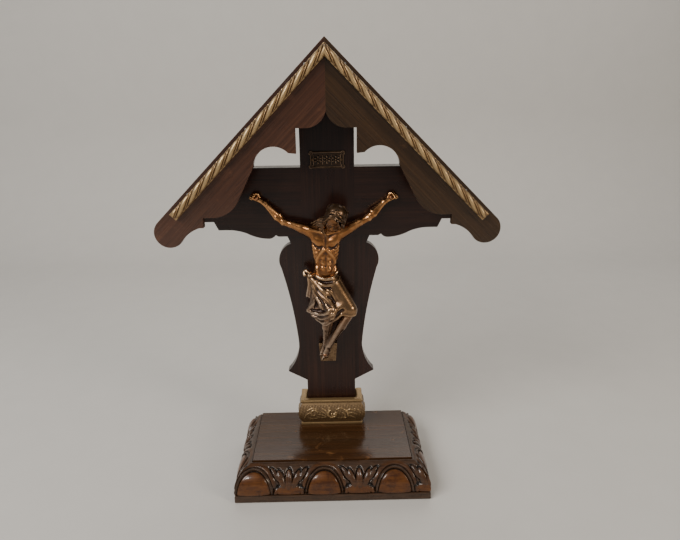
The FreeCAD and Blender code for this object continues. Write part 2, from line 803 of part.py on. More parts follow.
# Limbs between joints, with the radius at each end, also as shares of the figure's height.
LIMBS = (
    ("chest", "waist", 0.086, 0.064), ("waist", "hips", 0.064, 0.078), ("neck", "chest", 0.046, 0.086),
    ("left_shoulder", "left_elbow", 0.040, 0.026), ("left_elbow", "left_wrist", 0.027, 0.016),
    ("right_shoulder", "right_elbow", 0.040, 0.026), ("right_elbow", "right_wrist", 0.027, 0.016),
    ("left_wrist", "left_hand", 0.016, 0.021), ("right_wrist", "right_hand", 0.016, 0.021),
    ("left_shoulder", "chest", 0.042, 0.080), ("right_shoulder", "chest", 0.042, 0.080),
    ("left_hip", "left_knee", 0.064, 0.044), ("right_hip", "right_knee", 0.064, 0.046),
    ("left_knee", "left_ankle", 0.036, 0.020), ("right_knee", "right_ankle", 0.038, 0.020),
    ("left_ankle", "toes", 0.020, 0.024), ("right_ankle", "toes", 0.022, 0.024),
    ("neck", "chin", 0.040, 0.044), ("chin", "crown", 0.044, 0.070),
)

# The joint each nail goes through, then how far forward its head sits and how far above the joint.
NAIL_SEATS = {
    "hand_nail_left": ("left_hand", 0.038, 0.0),
    "hand_nail_right": ("right_hand", 0.038, 0.0),
    "feet_nail": ("toes", 0.104, 0.028),
}


def joint_point(name):
    """Where one of the figure's joints is, in the cross's frame."""
    height = number("figure_height")
    across, forward, up = JOINTS[name]
    x = number("figure_shift") + across * height
    return FreeCAD.Vector(x, post_front.value - forward * height, figure_foot.value + up * height)


def limb(first, last, first_radius, last_radius):
    """A round limb with a ball at each end."""
    height = number("figure_height")
    start, stop = joint_point(first), joint_point(last)
    line = stop - start
    first_size, last_size = first_radius * height, last_radius * height
    cone = Part.makeCone(first_size, last_size, line.Length, start, line)
    return [cone, Part.makeSphere(first_size, start), Part.makeSphere(last_size, stop)]


def make_corpus(fasteners):
    """The cast figure, kept behind the plane of the wood and clear of its foot block and nails."""
    solids = []
    for first, last, first_radius, last_radius in LIMBS:
        solids += limb(first, last, first_radius, last_radius)
    whole = solids[0].multiFuse(solids[1:])
    room = number("overall_height")
    behind = Part.makeBox(2 * room, room, 2 * room, FreeCAD.Vector(-room, post_front.value, -room))
    whole = whole.cut(behind).cut(fasteners["foot_block"].Shape)
    solid = max(whole.Solids, key=lambda item: item.Volume)
    blank = doc.addObject("Part::Feature", "corpus_blank")
    blank.Shape = solid
    nails = [fasteners[name] for name in ("hand_nail_left", "hand_nail_right", "feet_nail")]
    return drilled("corpus", blank, nails)


# ---------------------------------------------------------------- assembly
def make_all():
    """Make every node, fasteners first, and return them."""
    fasteners = {
        "post_screws": make_post_screws(), "wing_dowels": make_wing_dowels(),
        "moulding_pins": make_moulding_pins(), "collar_pins": make_collar_pins(),
        "roof_pins": make_roof_pins(), "fascia_pins": make_fascia_pins(), "plaque_pins": make_plaque_pins(),
    }
    height = size("figure_height")
    for label, (joint, forward, lift) in NAIL_SEATS.items():
        across, _, up = JOINTS[joint]
        spot_x = size("figure_shift") + height * across
        spot_z = figure_foot + height * (up + lift)
        fasteners[label] = make_nail(label, spot_x, spot_z, post_front - height * forward)
    doc.recompute()

    nodes = list(fasteners.values())
    nodes += make_base(fasteners)
    nodes += make_collar(fasteners)
    nodes += [make_post(fasteners), make_cross_arm(fasteners)]
    for side, word in ((-1, "left"), (1, "right")):
        nodes.append(make_wing(side, word, fasteners))
        nodes.append(make_roof_board(side, word, fasteners))
        nodes.append(make_fascia(side, word, fasteners))
        nodes.append(make_rope(side, word))
    fasteners["foot_block"] = make_foot_block(fasteners)
    nodes += [fasteners["foot_block"], make_plaque(fasteners)]
    doc.recompute()
    nodes.append(make_corpus(fasteners))
    doc.recompute()
    return nodes


def check_all(nodes):
    """Stop before writing if any object failed or any node is not a valid solid."""
    for item in doc.Objects:
        if "Invalid" in item.State or "Error" in item.State:
            raise RuntimeError(f"{item.Name} failed: {item.State}")
    for node in nodes:
        shape = node.Shape
        if shape.isNull() or not shape.isValid() or not shape.Solids:
            raise RuntimeError(f"{node.Label} is not a valid solid")


def write_all(nodes):
    """Write each node's shape to its own STEP file."""
    os.makedirs("parts", exist_ok=True)
    for node in nodes:
        node.Shape.exportStep(f"parts/{node.Label}.step")
        print(f"{node.Label}: {len(node.Shape.Solids)} solid(s), {node.Shape.Volume / 1000:.2f} cm3")


NODES = make_all()
check_all(NODES)
write_all(NODES)
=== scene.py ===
"""Looks of a roofed altar cross: dark varnished wood, amber carving, antique gilding and cast bronze.

Everything is in metres, in the same frame as the CAD model: +Z up and -Y the front. The carved and
cast pieces are worked out in millimetres and turned into metres as they become meshes.
"""

import logging
import math
from dataclasses import dataclass, field, replace
from enum import Enum
from typing import Protocol

import bpy
import numpy as np
from bpy.types import Material, NodeSocket, Object
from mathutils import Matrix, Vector

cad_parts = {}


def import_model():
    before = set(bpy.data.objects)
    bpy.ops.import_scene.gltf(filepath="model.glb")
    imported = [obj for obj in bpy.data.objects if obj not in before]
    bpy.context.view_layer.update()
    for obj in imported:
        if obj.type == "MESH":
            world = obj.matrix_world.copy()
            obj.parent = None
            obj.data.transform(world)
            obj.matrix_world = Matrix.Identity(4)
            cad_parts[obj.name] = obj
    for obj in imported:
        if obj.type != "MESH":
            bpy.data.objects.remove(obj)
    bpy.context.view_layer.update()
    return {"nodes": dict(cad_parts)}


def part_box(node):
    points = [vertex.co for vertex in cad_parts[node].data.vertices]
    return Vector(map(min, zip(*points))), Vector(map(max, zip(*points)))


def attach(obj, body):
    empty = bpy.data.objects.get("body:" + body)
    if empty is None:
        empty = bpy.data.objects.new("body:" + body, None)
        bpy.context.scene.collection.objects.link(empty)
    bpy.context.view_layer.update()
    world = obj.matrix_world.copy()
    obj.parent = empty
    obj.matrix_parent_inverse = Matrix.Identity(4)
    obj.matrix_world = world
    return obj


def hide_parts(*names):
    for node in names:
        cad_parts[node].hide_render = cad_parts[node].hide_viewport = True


logging.basicConfig(level=logging.INFO, format="%(message)s")
LOG = logging.getLogger("altar_cross")
MM = 0.001
Colour = tuple[float, float, float, float]
Flat = tuple[float, float]
Spot = tuple[float, float, float]
Value = NodeSocket | float | Colour
Array = np.ndarray
ThreeArrays = tuple[Array, Array, Array]


class Side(Enum):
    """Left or right, seen from the front."""

    LEFT = -1
    RIGHT = 1

    @property
    def word(self) -> str:
        """The side's name as the nodes spell it."""
        return self.name.lower()


# -------------------- finishes
def tinted(colour: Colour, scale: float) -> Colour:
    """The colour made lighter or darker by scale."""
    return tuple(min(1.0, part * scale) for part in colour[:3]) + (1.0,)


class Graph:
    """One material's nodes, wired in short hand."""

    def __init__(self, name: str) -> None:
        """Start a material with its one shader.

        Args:
            name: the material's name.
        """
        self.material = bpy.data.materials.new(name)
        self.material.use_nodes = True
        self.tree = self.material.node_tree
        self.shader = self.tree.nodes["Principled BSDF"]

    def feed(self, socket: NodeSocket, value: Value) -> None:
        """Link a value, or set it.

        Args:
            socket: the input that gets it.
            value: another node's output, or a number or colour.
        """
        if isinstance(value, NodeSocket):
            self.tree.links.new(value, socket)
        else:
            socket.default_value = value

    def node(self, kind: str, settings: dict | None = None, **inputs: Value) -> bpy.types.Node:
        """Add a node.

        Args:
            kind: the node's type.
            settings: its own settings by name.
            inputs: values or sockets for its inputs, with spaces written as underscores.

        Returns:
            The node.
        """
        made = self.tree.nodes.new(kind)
        for key, value in (settings or {}).items():
            setattr(made, key, value)
        for key, value in inputs.items():
            self.feed(made.inputs[key.replace("_", " ")], value)
        return made

    def place(self, scale: Spot, turn: float = 0.0, shift: Spot = (0, 0, 0)) -> NodeSocket:
        """Work out where a pattern that has a grain is read.

        Args:
            scale: how much finer the pattern is along each axis, after the turn.
            turn: its turn about Y, in radians.
            shift: how far it is moved.

        Returns:
            Object coordinates, turned, moved and then stretched.
        """
        spot = self.node("ShaderNodeTexCoord").outputs["Object"]
        turned = self.node("ShaderNodeMapping", Vector=spot, Rotation=(0, turn, 0), Location=shift)
        return self.node("ShaderNodeMapping", Vector=turned.outputs[0], Scale=scale).outputs[0]

    def noise(self, place: NodeSocket, detail: float = 4.0, rough: float = 0.5,
              twist: float = 0.0) -> NodeSocket:
        """Make cloudy noise.

        Args:
            place: where it is read, which also sets its size.
            detail: how many finer layers it has.
            rough: how strong those are.
            twist: how far it is pulled about.

        Returns:
            Its value, about 0.5 on average.
        """
        made = self.node("ShaderNodeTexNoise", Vector=place, Scale=1.0, Detail=detail,
                         Roughness=rough, Distortion=twist)
        return made.outputs["Fac"]

    def cloud(self, scale: float, detail: float, rough: float, twist: float = 0.0) -> NodeSocket:
        """Noise that is the same all ways, scale lumps to the metre."""
        return self.noise(self.place((scale, scale, scale)), detail, rough, twist)

    def maths(self, operation: str, first: Value, second: Value = 0.0) -> NodeSocket:
        """Do one sum.

        Args:
            operation: its name.
            first, second: the values it is done on.

        Returns:
            The outcome.
        """
        made = self.node("ShaderNodeMath", {"operation": operation})
        self.feed(made.inputs[0], first)
        self.feed(made.inputs[1], second)
        return made.outputs[0]

    def weigh(self, *parts: tuple[NodeSocket, float]) -> NodeSocket:
        """Add values up.

        Args:
            parts: each value and its weight.

        Returns:
            The weighted sum.
        """
        total = None
        for value, weight in parts:
            share = self.maths("MULTIPLY", value, weight)
            total = share if total is None else self.maths("ADD", total, share)
        return total

    def stir(self, value: Value, cloud: NodeSocket, amount: float) -> NodeSocket:
        """The value pushed up and down by noise about its middle."""
        push = self.maths("MULTIPLY", self.maths("SUBTRACT", cloud, 0.5), amount)
        return self.maths("ADD", value, push)

    def span(self, value: Value, low: float, high: float, bottom: float = 0.0,
             top: float = 1.0) -> NodeSocket:
        """The value carried from low..high to bottom..top, and held within them."""
        return self.node("ShaderNodeMapRange", Value=value, From_Min=low, From_Max=high,
                         To_Min=bottom, To_Max=top).outputs[0]

    def mix(self, share: Value, first: Value, second: Value) -> NodeSocket:
        """Mix two colours.

        Args:
            share: how much of the second there is.
            first, second: the colours.

        Returns:
            The mixed colour.
        """
        made = self.node("ShaderNodeMix", {"data_type": "RGBA"})
        for index, value in ((0, share), (6, first), (7, second)):
            self.feed(made.inputs[index], value)
        return made.outputs[2]

    def ramp(self, value: Value, *stops: tuple[float, Colour]) -> NodeSocket:
        """Colour a value.

        Args:
            value: what is coloured.
            stops: values and their colours, in order.

        Returns:
            The colour.
        """
        made = self.node("ShaderNodeValToRGB", Fac=value)
        points = made.color_ramp.elements
        while len(points) < len(stops):
            points.new(0.5)
        for point, (spot, colour) in zip(points, stops):
            point.position, point.color = spot, colour
        return made.outputs["Color"]

    def attribute(self, name: str) -> NodeSocket:
        """A value that the mesh carries at each point."""
        return self.node("ShaderNodeAttribute", {"attribute_name": name}).outputs["Fac"]

    def bump(self, *layers: tuple[Value, float, float]) -> None:
        """Stack bumps on the shader's normal.

        Args:
            layers: each bump's height, strength and depth in metres.
        """
        normal = None
        for height, strength, depth in layers:
            made = self.node("ShaderNodeBump", Height=height, Strength=strength, Distance=depth)
            if normal is not None:
                self.feed(made.inputs["Normal"], normal)
            normal = made.outputs[0]
        self.feed(self.shader.inputs["Normal"], normal)

    def surface(self, **inputs: Value) -> Material:
        """Set the shader.

        Args:
            inputs: values or sockets for its inputs, with spaces written as underscores.

        Returns:
            The finished material.
        """
        for key, value in inputs.items():
            self.feed(self.shader.inputs[key.replace("_", " ")], value)
        return self.material


@dataclass(frozen=True)
class WoodFinish:
    """Stained wood under varnish, its grain running up the piece or turned from that.

    Fields:
        name: the material's name.
        dark, mid, light: the stain's colours, from late wood to early wood.
        turn: how far the grain is turned about Y, in radians.
        coat: how much varnish there is.
        rough: the varnish's roughness, from its glossiest to its dullest.
        shift: moves the pattern, so that no two boards have the same grain.
        figure: the width of one growth ring's band, in metres.
        worn: how much of the stain is rubbed through to amber.
    """

    name: str
    dark: Colour
    mid: Colour
    light: Colour
    turn: float = 0.0
    coat: float = 0.6
    rough: Flat = (0.22, 0.42)
    shift: Spot = (0.0, 0.0, 0.0)
    figure: float = 5.0 * MM
    worn: float = 0.0

    def build(self) -> Material:
        """Make the material.

        Returns:
            The material.
        """
        graph = Graph(self.name)
        width = 1 / self.figure
        slow = graph.place((width * 0.35, width * 0.35, width * 0.02), self.turn, self.shift)
        bend = graph.noise(slow, 3.0, 0.55, 0.4)
        rings = graph.place((width, width * 0.6, width * 0.035), self.turn, self.shift)
        bands = graph.node("ShaderNodeTexWave", {"bands_direction": "X", "wave_profile": "SAW"},
                           Vector=rings, Scale=0.32, Distortion=7.0, Detail=3.0, Detail_Scale=0.7,
                           Detail_Roughness=0.6).outputs["Fac"]
        fibre = graph.noise(graph.place((1500, 1500, 28), self.turn, self.shift), 5.0, 0.62)
        pores = graph.noise(graph.place((1050, 1050, 36), self.turn, (0.3, 0.1, 0.7)), 2.0, 0.5)
        pores = graph.span(pores, 0.60, 0.70)
        grain = graph.place((width * 2.6, width * 1.8, width * 0.03), self.turn, self.shift)
        streak = graph.noise(grain, 4.0, 0.6, 0.3)
        tone = graph.weigh((bands, 0.08), (bend, 0.34), (streak, 0.32), (fibre, 0.28))
        colour = graph.ramp(tone, (0.30, self.dark), (0.52, self.mid), (0.86, self.light))
        colour = graph.mix(graph.maths("MULTIPLY", pores, 0.75), colour, self.dark)
        if self.worn:
            patch = graph.noise(graph.place((55, 55, 55), 0.0, self.shift), 6.0, 0.68, 0.6)
            patch = graph.maths("MULTIPLY", graph.span(patch, 0.60, 0.72), self.worn)
            colour = graph.mix(patch, colour, tinted(self.light, 3.2))
        smudge = graph.cloud(38, 5.0, 0.6)
        gloss = graph.weigh((smudge, 0.7), (fibre, 0.3))
        graph.bump((fibre, 0.22, 0.10 * MM), (graph.maths("SUBTRACT", 1.0, pores), 0.30, 0.12 * MM),
                   (smudge, 0.05, 0.6 * MM))
        return graph.surface(Base_Color=colour, Roughness=graph.span(gloss, 0.3, 0.7, *self.rough),
                             Specular_IOR_Level=0.22, Coat_Weight=self.coat * 0.55, Coat_Roughness=0.16)


@dataclass(frozen=True)
class CarvedFinish:
    """Glazed carving: amber where the knife left a round, brown on the ground, and near-black painted shade
    in the cuts and the moulding's hollows.
    """

    name: str = "amber_glazed_carving"
    ground: Colour = (0.030, 0.016, 0.009, 1)
    amber: Colour = (0.045, 0.013, 0.003, 1)
    honey: Colour = (0.118, 0.040, 0.006, 1)
    # cut: the colour of the painted shade in the cuts and hollows.
    cut: Colour = (0.006, 0.003, 0.002, 1)

    def build(self) -> Material:
        """Make the material, which reads the points' glaze and relief values.

        Returns:
            The material.
        """
        graph = Graph(self.name)
        glaze, relief = graph.attribute("glaze"), graph.attribute("relief")
        cloud = graph.cloud(120, 5.0, 0.6, 0.5)
        streak = graph.noise(graph.place((90, 700, 700)), 5.0, 0.6)
        warmth = graph.span(graph.weigh((cloud, 0.6), (streak, 0.5)), 0.42, 0.72)
        warm = graph.mix(warmth, self.amber, self.honey)
        ground = graph.mix(graph.span(streak, 0.35, 0.7), self.ground, tinted(self.ground, 2.1))
        share = graph.maths("MULTIPLY", glaze, graph.span(cloud, 0.25, 0.5, 0.72, 1.0))
        colour = graph.mix(share, ground, warm)
        # Painted shade: the lower the relief, the nearer the colour goes to the near-black cut colour.
        depth = graph.maths("ADD", relief, graph.maths("MULTIPLY", cloud, 0.10))
        colour = graph.mix(graph.span(depth, -0.02, -0.36), colour, self.cut)
        chips = graph.cloud(420, 4.0, 0.7)
        graph.bump((streak, 0.16, 0.12 * MM), (chips, 0.10, 0.25 * MM), (cloud, 0.10, 0.6 * MM))
        return graph.surface(Base_Color=colour, Roughness=graph.span(cloud, 0.3, 0.7, 0.22, 0.40),
                             Specular_IOR_Level=0.2, Coat_Weight=0.45, Coat_Roughness=0.12)


@dataclass(frozen=True)
class GiltFinish:
    """Antique gold paint rubbed thin in random specks, with a painted shade that dims it from the high
    places down into the hollows.

    Fields:
        name: the material's name.
        gold, worn: the paint where it is thick and where it is thin; they also mix by relief as painted
            shade.
        hollow: the colour of the painted shade in the hollows.
        edge: how much further down into the hollows the gold reaches before the painted shade takes over.
    """

    name: str
    gold: Colour = (0.370, 0.245, 0.115, 1)
    worn: Colour = (0.170, 0.105, 0.050, 1)
    hollow: Colour = (0.030, 0.015, 0.007, 1)
    edge: float = 0.0

    def build(self) -> Material:
        """Make the material, which reads the points' relief value.

        Returns:
            The material.
        """
        graph = Graph(self.name)
        cloud = graph.cloud(260, 6.0, 0.66, 0.4)
        speck = graph.cloud(1400, 4.0, 0.7)
        height = graph.stir(graph.attribute("relief"), cloud, 0.9)
        height = graph.maths("ADD", height, self.edge)
        # Painted shade: where the relief is low, the gold and its metal give way to the dark hollow colour,
        # and the gold brightens with height.
        unshaded_share = graph.span(height, -0.55, 0.02)
        bright = graph.mix(graph.span(height, 0.0, 0.75), self.worn, self.gold)
        rubbed = graph.maths("MULTIPLY", graph.span(speck, 0.56, 0.66), 0.5)
        bright = graph.mix(rubbed, bright, self.worn)
        graph.bump((speck, 0.22, 0.06 * MM), (cloud, 0.16, 0.25 * MM))
        return graph.surface(Base_Color=graph.mix(unshaded_share, self.hollow, bright),
                             Metallic=graph.maths("MULTIPLY", unshaded_share, 0.72),
                             Roughness=graph.span(speck, 0.35, 0.7, 0.30, 0.52),
                             Coat_Weight=0.25, Coat_Roughness=0.25)


@dataclass(frozen=True)
class BronzeFinish:
    """Plated bronze: bright on the rounds, antique brown in the hollows where polish never reaches, darkened
    further there by painted shade.

    It reads the points' relief; a value that dulls them, on the head partly antique tarnish and partly
    painted shade;
    and their warmth, which turns the plating from pale bronze to copper and on the loincloth paints in the
    warm light from the right.

    Fields:
        name: the material's name.
        bright, middle, dark: the cold plating's colours, from the rounds to the hollows.
        warm_bright, warm_middle: the same for the warm plating.
        rough: the polish's roughness, from its glossiest to its dullest.
        reach: the relief at which the antique brown and its painted shade end and at which the polish is
            full.
    """

    name: str
    bright: Colour = (0.56, 0.43, 0.33, 1)
    middle: Colour = (0.21, 0.135, 0.09, 1)
    warm_bright: Colour = (0.76, 0.42, 0.19, 1)
    warm_middle: Colour = (0.32, 0.135, 0.045, 1)
    dark: Colour = (0.030, 0.014, 0.009, 1)
    rough: Flat = (0.13, 0.27)
    reach: Flat = (0.30, 0.92)

    def build(self) -> Material:
        """Make the material.

        Returns:
            The material.
        """
        graph = Graph(self.name)
        cloud = graph.cloud(150, 6.0, 0.6, 0.4)
        grain = graph.cloud(2400, 3.0, 0.6)
        height = graph.stir(graph.attribute("relief"), cloud, 0.35)
        dulling = graph.span(graph.attribute("patina"), 0.0, 1.0, 1.0, 0.25)
        # Low relief goes to the antique brown and dark: part real tarnish in the hollows, part painted
        # shade.
        share = graph.maths("MULTIPLY", graph.span(height, *self.reach), dulling)
        cold = graph.ramp(share, (0.0, self.dark), (0.45, self.middle), (1.0, self.bright))
        warm = graph.ramp(share, (0.0, self.dark), (0.45, self.warm_middle), (1.0, self.warm_bright))
        colour = graph.mix(graph.attribute("warmth"), cold, warm)
        grime = graph.maths("MULTIPLY", graph.span(grain, 0.55, 0.7), 0.25)
        colour = graph.mix(grime, colour, self.dark)
        unpolished = graph.maths("MULTIPLY", graph.maths("SUBTRACT", 1.0, share), 0.12)
        rough = graph.maths("ADD", graph.span(cloud, 0.3, 0.7, *self.rough), unpolished)
        graph.bump((grain, 0.10, 0.05 * MM), (cloud, 0.08, 0.4 * MM))
        return graph.surface(Base_Color=colour, Metallic=graph.span(share, 0.0, 0.4, 0.55, 1.0),
                             Roughness=rough, Coat_Weight=0.15, Coat_Roughness=0.2)


@dataclass(frozen=True)
class PlainMetal:
    """Drawn wire or turned metal with fine scratches, for nails, pins and screws."""

    name: str
    colour: Colour
    shade: Colour
    rough: Flat = (0.28, 0.5)

    def build(self) -> Material:
        """Make the material.

        Returns:
            The material.
        """
        graph = Graph(self.name)
        cloud = graph.cloud(330, 5.0, 0.6)
        scratch = graph.noise(graph.place((3200, 300, 300)), 3.0, 0.6)
        tone = graph.weigh((cloud, 0.6), (scratch, 0.4))
        graph.bump((scratch, 0.15, 0.04 * MM), (cloud, 0.10, 0.2 * MM))
        return graph.surface(Base_Color=graph.ramp(tone, (0.35, self.shade), (0.62, self.colour)),
                             Metallic=1.0, Roughness=graph.span(cloud, 0.3, 0.7, *self.rough))


@dataclass(frozen=True)
class FloorFinish:
    """Matt pale paper for the stand and the backdrop."""

    name: str = "pale_paper"
    colour: Colour = (0.60, 0.585, 0.56, 1)

    def build(self) -> Material:
        """Make the material.

        Returns:
            The material.
        """
        graph = Graph(self.name)
        cloud = graph.cloud(30, 4.0, 0.5)
        graph.bump((cloud, 0.03, 0.5 * MM))
        return graph.surface(Base_Color=graph.mix(cloud, tinted(self.colour, 0.94), self.colour),
                             Roughness=0.85)


# -------------------- mesh helpers
def clear_selection() -> None:
    """Leave object mode's selection empty."""
    if bpy.context.object is not None and bpy.context.object.mode != "OBJECT":
        bpy.ops.object.mode_set(mode="OBJECT")
    bpy.ops.object.select_all(action="DESELECT")


def dress(piece: Object, *materials: Material) -> None:
    """Give the piece these materials and no others.

    Args:
        piece: the piece.
        materials: its materials, in the order of its slots.
    """
    piece.data.materials.clear()
    for material in materials:
        piece.data.materials.append(material)


def stand_for(piece: Object, slot: str, *nodes: str) -> None:
    """Hang the piece on the one body in place of the CAD nodes, and report it.

    Args:
        piece: the finished piece.
        slot: the record's material slot; not used.
        nodes: the CAD nodes that it stands for.
    """
    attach(piece, "root")
    if nodes:
        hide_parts(*nodes)
    piece.data.calc_loop_triangles()
    LOG.info("%s: %d triangles, for %s", piece.name, len(piece.data.loop_triangles),
             ", ".join(nodes) or "itself")


def write_values(piece: Object, **values: Array) -> None:
    """Store numbers on a mesh.

    Args:
        piece: the piece.
        values: one number for each vertex, under each name.
    """
    for name, numbers in values.items():
        made = piece.data.attributes.new(name, "FLOAT", "POINT")
        made.data.foreach_set("value", numbers.astype(np.float32).ravel())


def smoothstep(low: float, high: float, value: Array) -> Array:
    """0 below low, 1 above high and a soft S between."""
    share = np.clip((value - low) / (high - low), 0, 1)
    return share * share * (3 - 2 * share)


def dome(distance: Array) -> Array:
    """A half circle's height over distances from 0 to 1, and nothing beyond."""
    return np.sqrt(np.clip(1 - distance ** 2, 0, 1))


def ridge(value: Array, middle: float, width: float) -> Array:
    """A soft ridge of height 1 along middle."""
    return np.exp(-(((value - middle) / width) ** 2))


def ellipse(across: Array, up: Array, centre: Flat, radii: Flat,
            tilt: float = 0.0) -> Array:
    """Measure from an ellipse.

    Args:
        across, up: the places that are measured.
        centre, radii: its middle and its half sizes.
        tilt: its turn in degrees clockwise.

    Returns:
        Each place's distance from its middle, 1 on its edge.
    """
    turn = math.radians(tilt)
    x, y = across - centre[0], up - centre[1]
    along = x * math.cos(turn) - y * math.sin(turn)
    over = x * math.sin(turn) + y * math.cos(turn)
    return np.hypot(along / radii[0], over / radii[1])


def stroke(across: Array, up: Array, points: list[Flat]) -> Array:
    """Measure from a drawn stroke.

    Args:
        across, up: the places that are measured.
        points: the ends of its straight runs.

    Returns:
        Each place's distance to it.
    """
    best = np.full(across.shape, 1e9)
    for (ax, ay), (bx, by) in zip(points, points[1:]):
        dx, dy = bx - ax, by - ay
        share = np.clip(((across - ax) * dx + (up - ay) * dy) / (dx * dx + dy * dy), 0, 1)
        best = np.minimum(best, np.hypot(across - ax - share * dx, up - ay - share * dy))
    return best


def ease_edges(piece: Object, width: float, edge_material: int = -1) -> None:
    """Round a piece's sharp edges over with live modifiers.

    Args:
        piece: the CAD node.
        width: how wide the round is.
        edge_material: the slot of the material that the rounds get, or -1 for their faces' own.
    """
    piece.modifiers.new("weld", "WELD").merge_threshold = 0.002 * MM
    bevel = piece.modifiers.new("worn_edge", "BEVEL")
    bevel.width, bevel.segments, bevel.limit_method = width, 3, "ANGLE"
    bevel.angle_limit, bevel.material = math.radians(32), edge_material
    bevel.miter_outer = "MITER_ARC"
    piece.modifiers.new("even_shading", "WEIGHTED_NORMAL").weight = 90


# -------------------- carved patterns
class Carving(Protocol):
    """A pattern that a moulding's face can be carved with."""

    def cut(self, along: Array, rise: Array) -> ThreeArrays:
        """Work out the carving, in millimetres.

        Args:
            along: places along the moulding.
            rise: places up its face.

        Returns:
            How far each point stands out, its relief from -1 to 1, and how much amber glaze it has.
        """


@dataclass(frozen=True)
class LunetteCarving:
    """Lunettes with a leaf fan between them, drawn along a moulding in millimetres.

    Fields:
        pitch: from one lunette's middle to the next.
        first: where one lunette's middle is.
        half_width, height: a lunette's outside.
        depth: how far the highest round stands out.
    """

    pitch: float = 61.7
    first: float = -7.3
    half_width: float = 16.3
    height: float = 24.2
    depth: float = 1.0

    def cut(self, along: Array, rise: Array) -> ThreeArrays:
        """Work out the carving.

        Args:
            along: places along the moulding.
            rise: places up its face, from the ledge.

        Returns:
            How far each point stands out, its relief from -1 to 1, and how much amber glaze it has.
        """
        x = (along - self.first + self.pitch / 2) % self.pitch - self.pitch / 2
        out = ellipse(x, rise, (0, 0), (self.half_width, self.height))
        boss = dome(out / 0.90)
        height = 2.1 * boss
        height += -0.9 * ridge(out, 0.915, 0.030) + 1.25 * ridge(out, 0.985, 0.038)
        height += (0.55 * ridge(out, 1.15, 0.10) - 1.0 * ridge(out, 1.055, 0.030)
                   - 0.6 * ridge(out, 1.29, 0.04))
        glaze = np.clip(1.3 * smoothstep(0.02, 0.45, boss) + 0.45 * ridge(out, 1.16, 0.09), 0, 1)

        fan = np.abs(x) - self.pitch / 2
        outside = smoothstep(1.03, 1.09, out)
        bowl = ellipse(fan, rise, (0, 0.6), (13.4, 9.8))
        middle = ellipse(fan, rise, (0, 13.4), (2.9, 9.8))
        wing = ellipse(np.abs(fan), rise, (6.3, 14.2), (2.7, 8.8), 20)
        outer = ellipse(np.abs(fan), rise, (11.6, 18.6), (2.1, 7.2), 34)
        lobes = [(bowl, 1.25, 1.0), (middle, 1.6, 0.50), (wing, 1.45, 0.34), (outer, 0.85, 0.12)]
        leaf = np.zeros_like(x)
        amber = np.zeros_like(x)
        groove = np.zeros_like(x)
        for distance, tall, glow in lobes:
            bump = dome(distance)
            amber = np.where(bump * tall > leaf, glow * smoothstep(0.0, 0.6, bump), amber)
            leaf = np.maximum(leaf, bump * tall)
            groove = np.maximum(groove, ridge(distance, 1.12, 0.13))
        vein = ridge(fan, 0, 0.55) * (middle < 0.8) + ridge(wing, 0.0, 0.25) * 0.4
        leaf -= 0.5 * vein + 1.15 * groove * (leaf < 0.25)
        height += outside * leaf
        glaze = np.maximum(glaze, outside * amber)

        ends = smoothstep(0.0, 1.6, rise) * smoothstep(27.6, 24.6, rise)
        height *= ends
        foot = 0.9 * smoothstep(1.0, 0.0, np.abs(rise - 0.4))
        relief = np.clip(height / 1.5, -1, 1)
        return (height - foot * 0.3) * self.depth, relief, glaze * smoothstep(0.0, 1.0, rise)


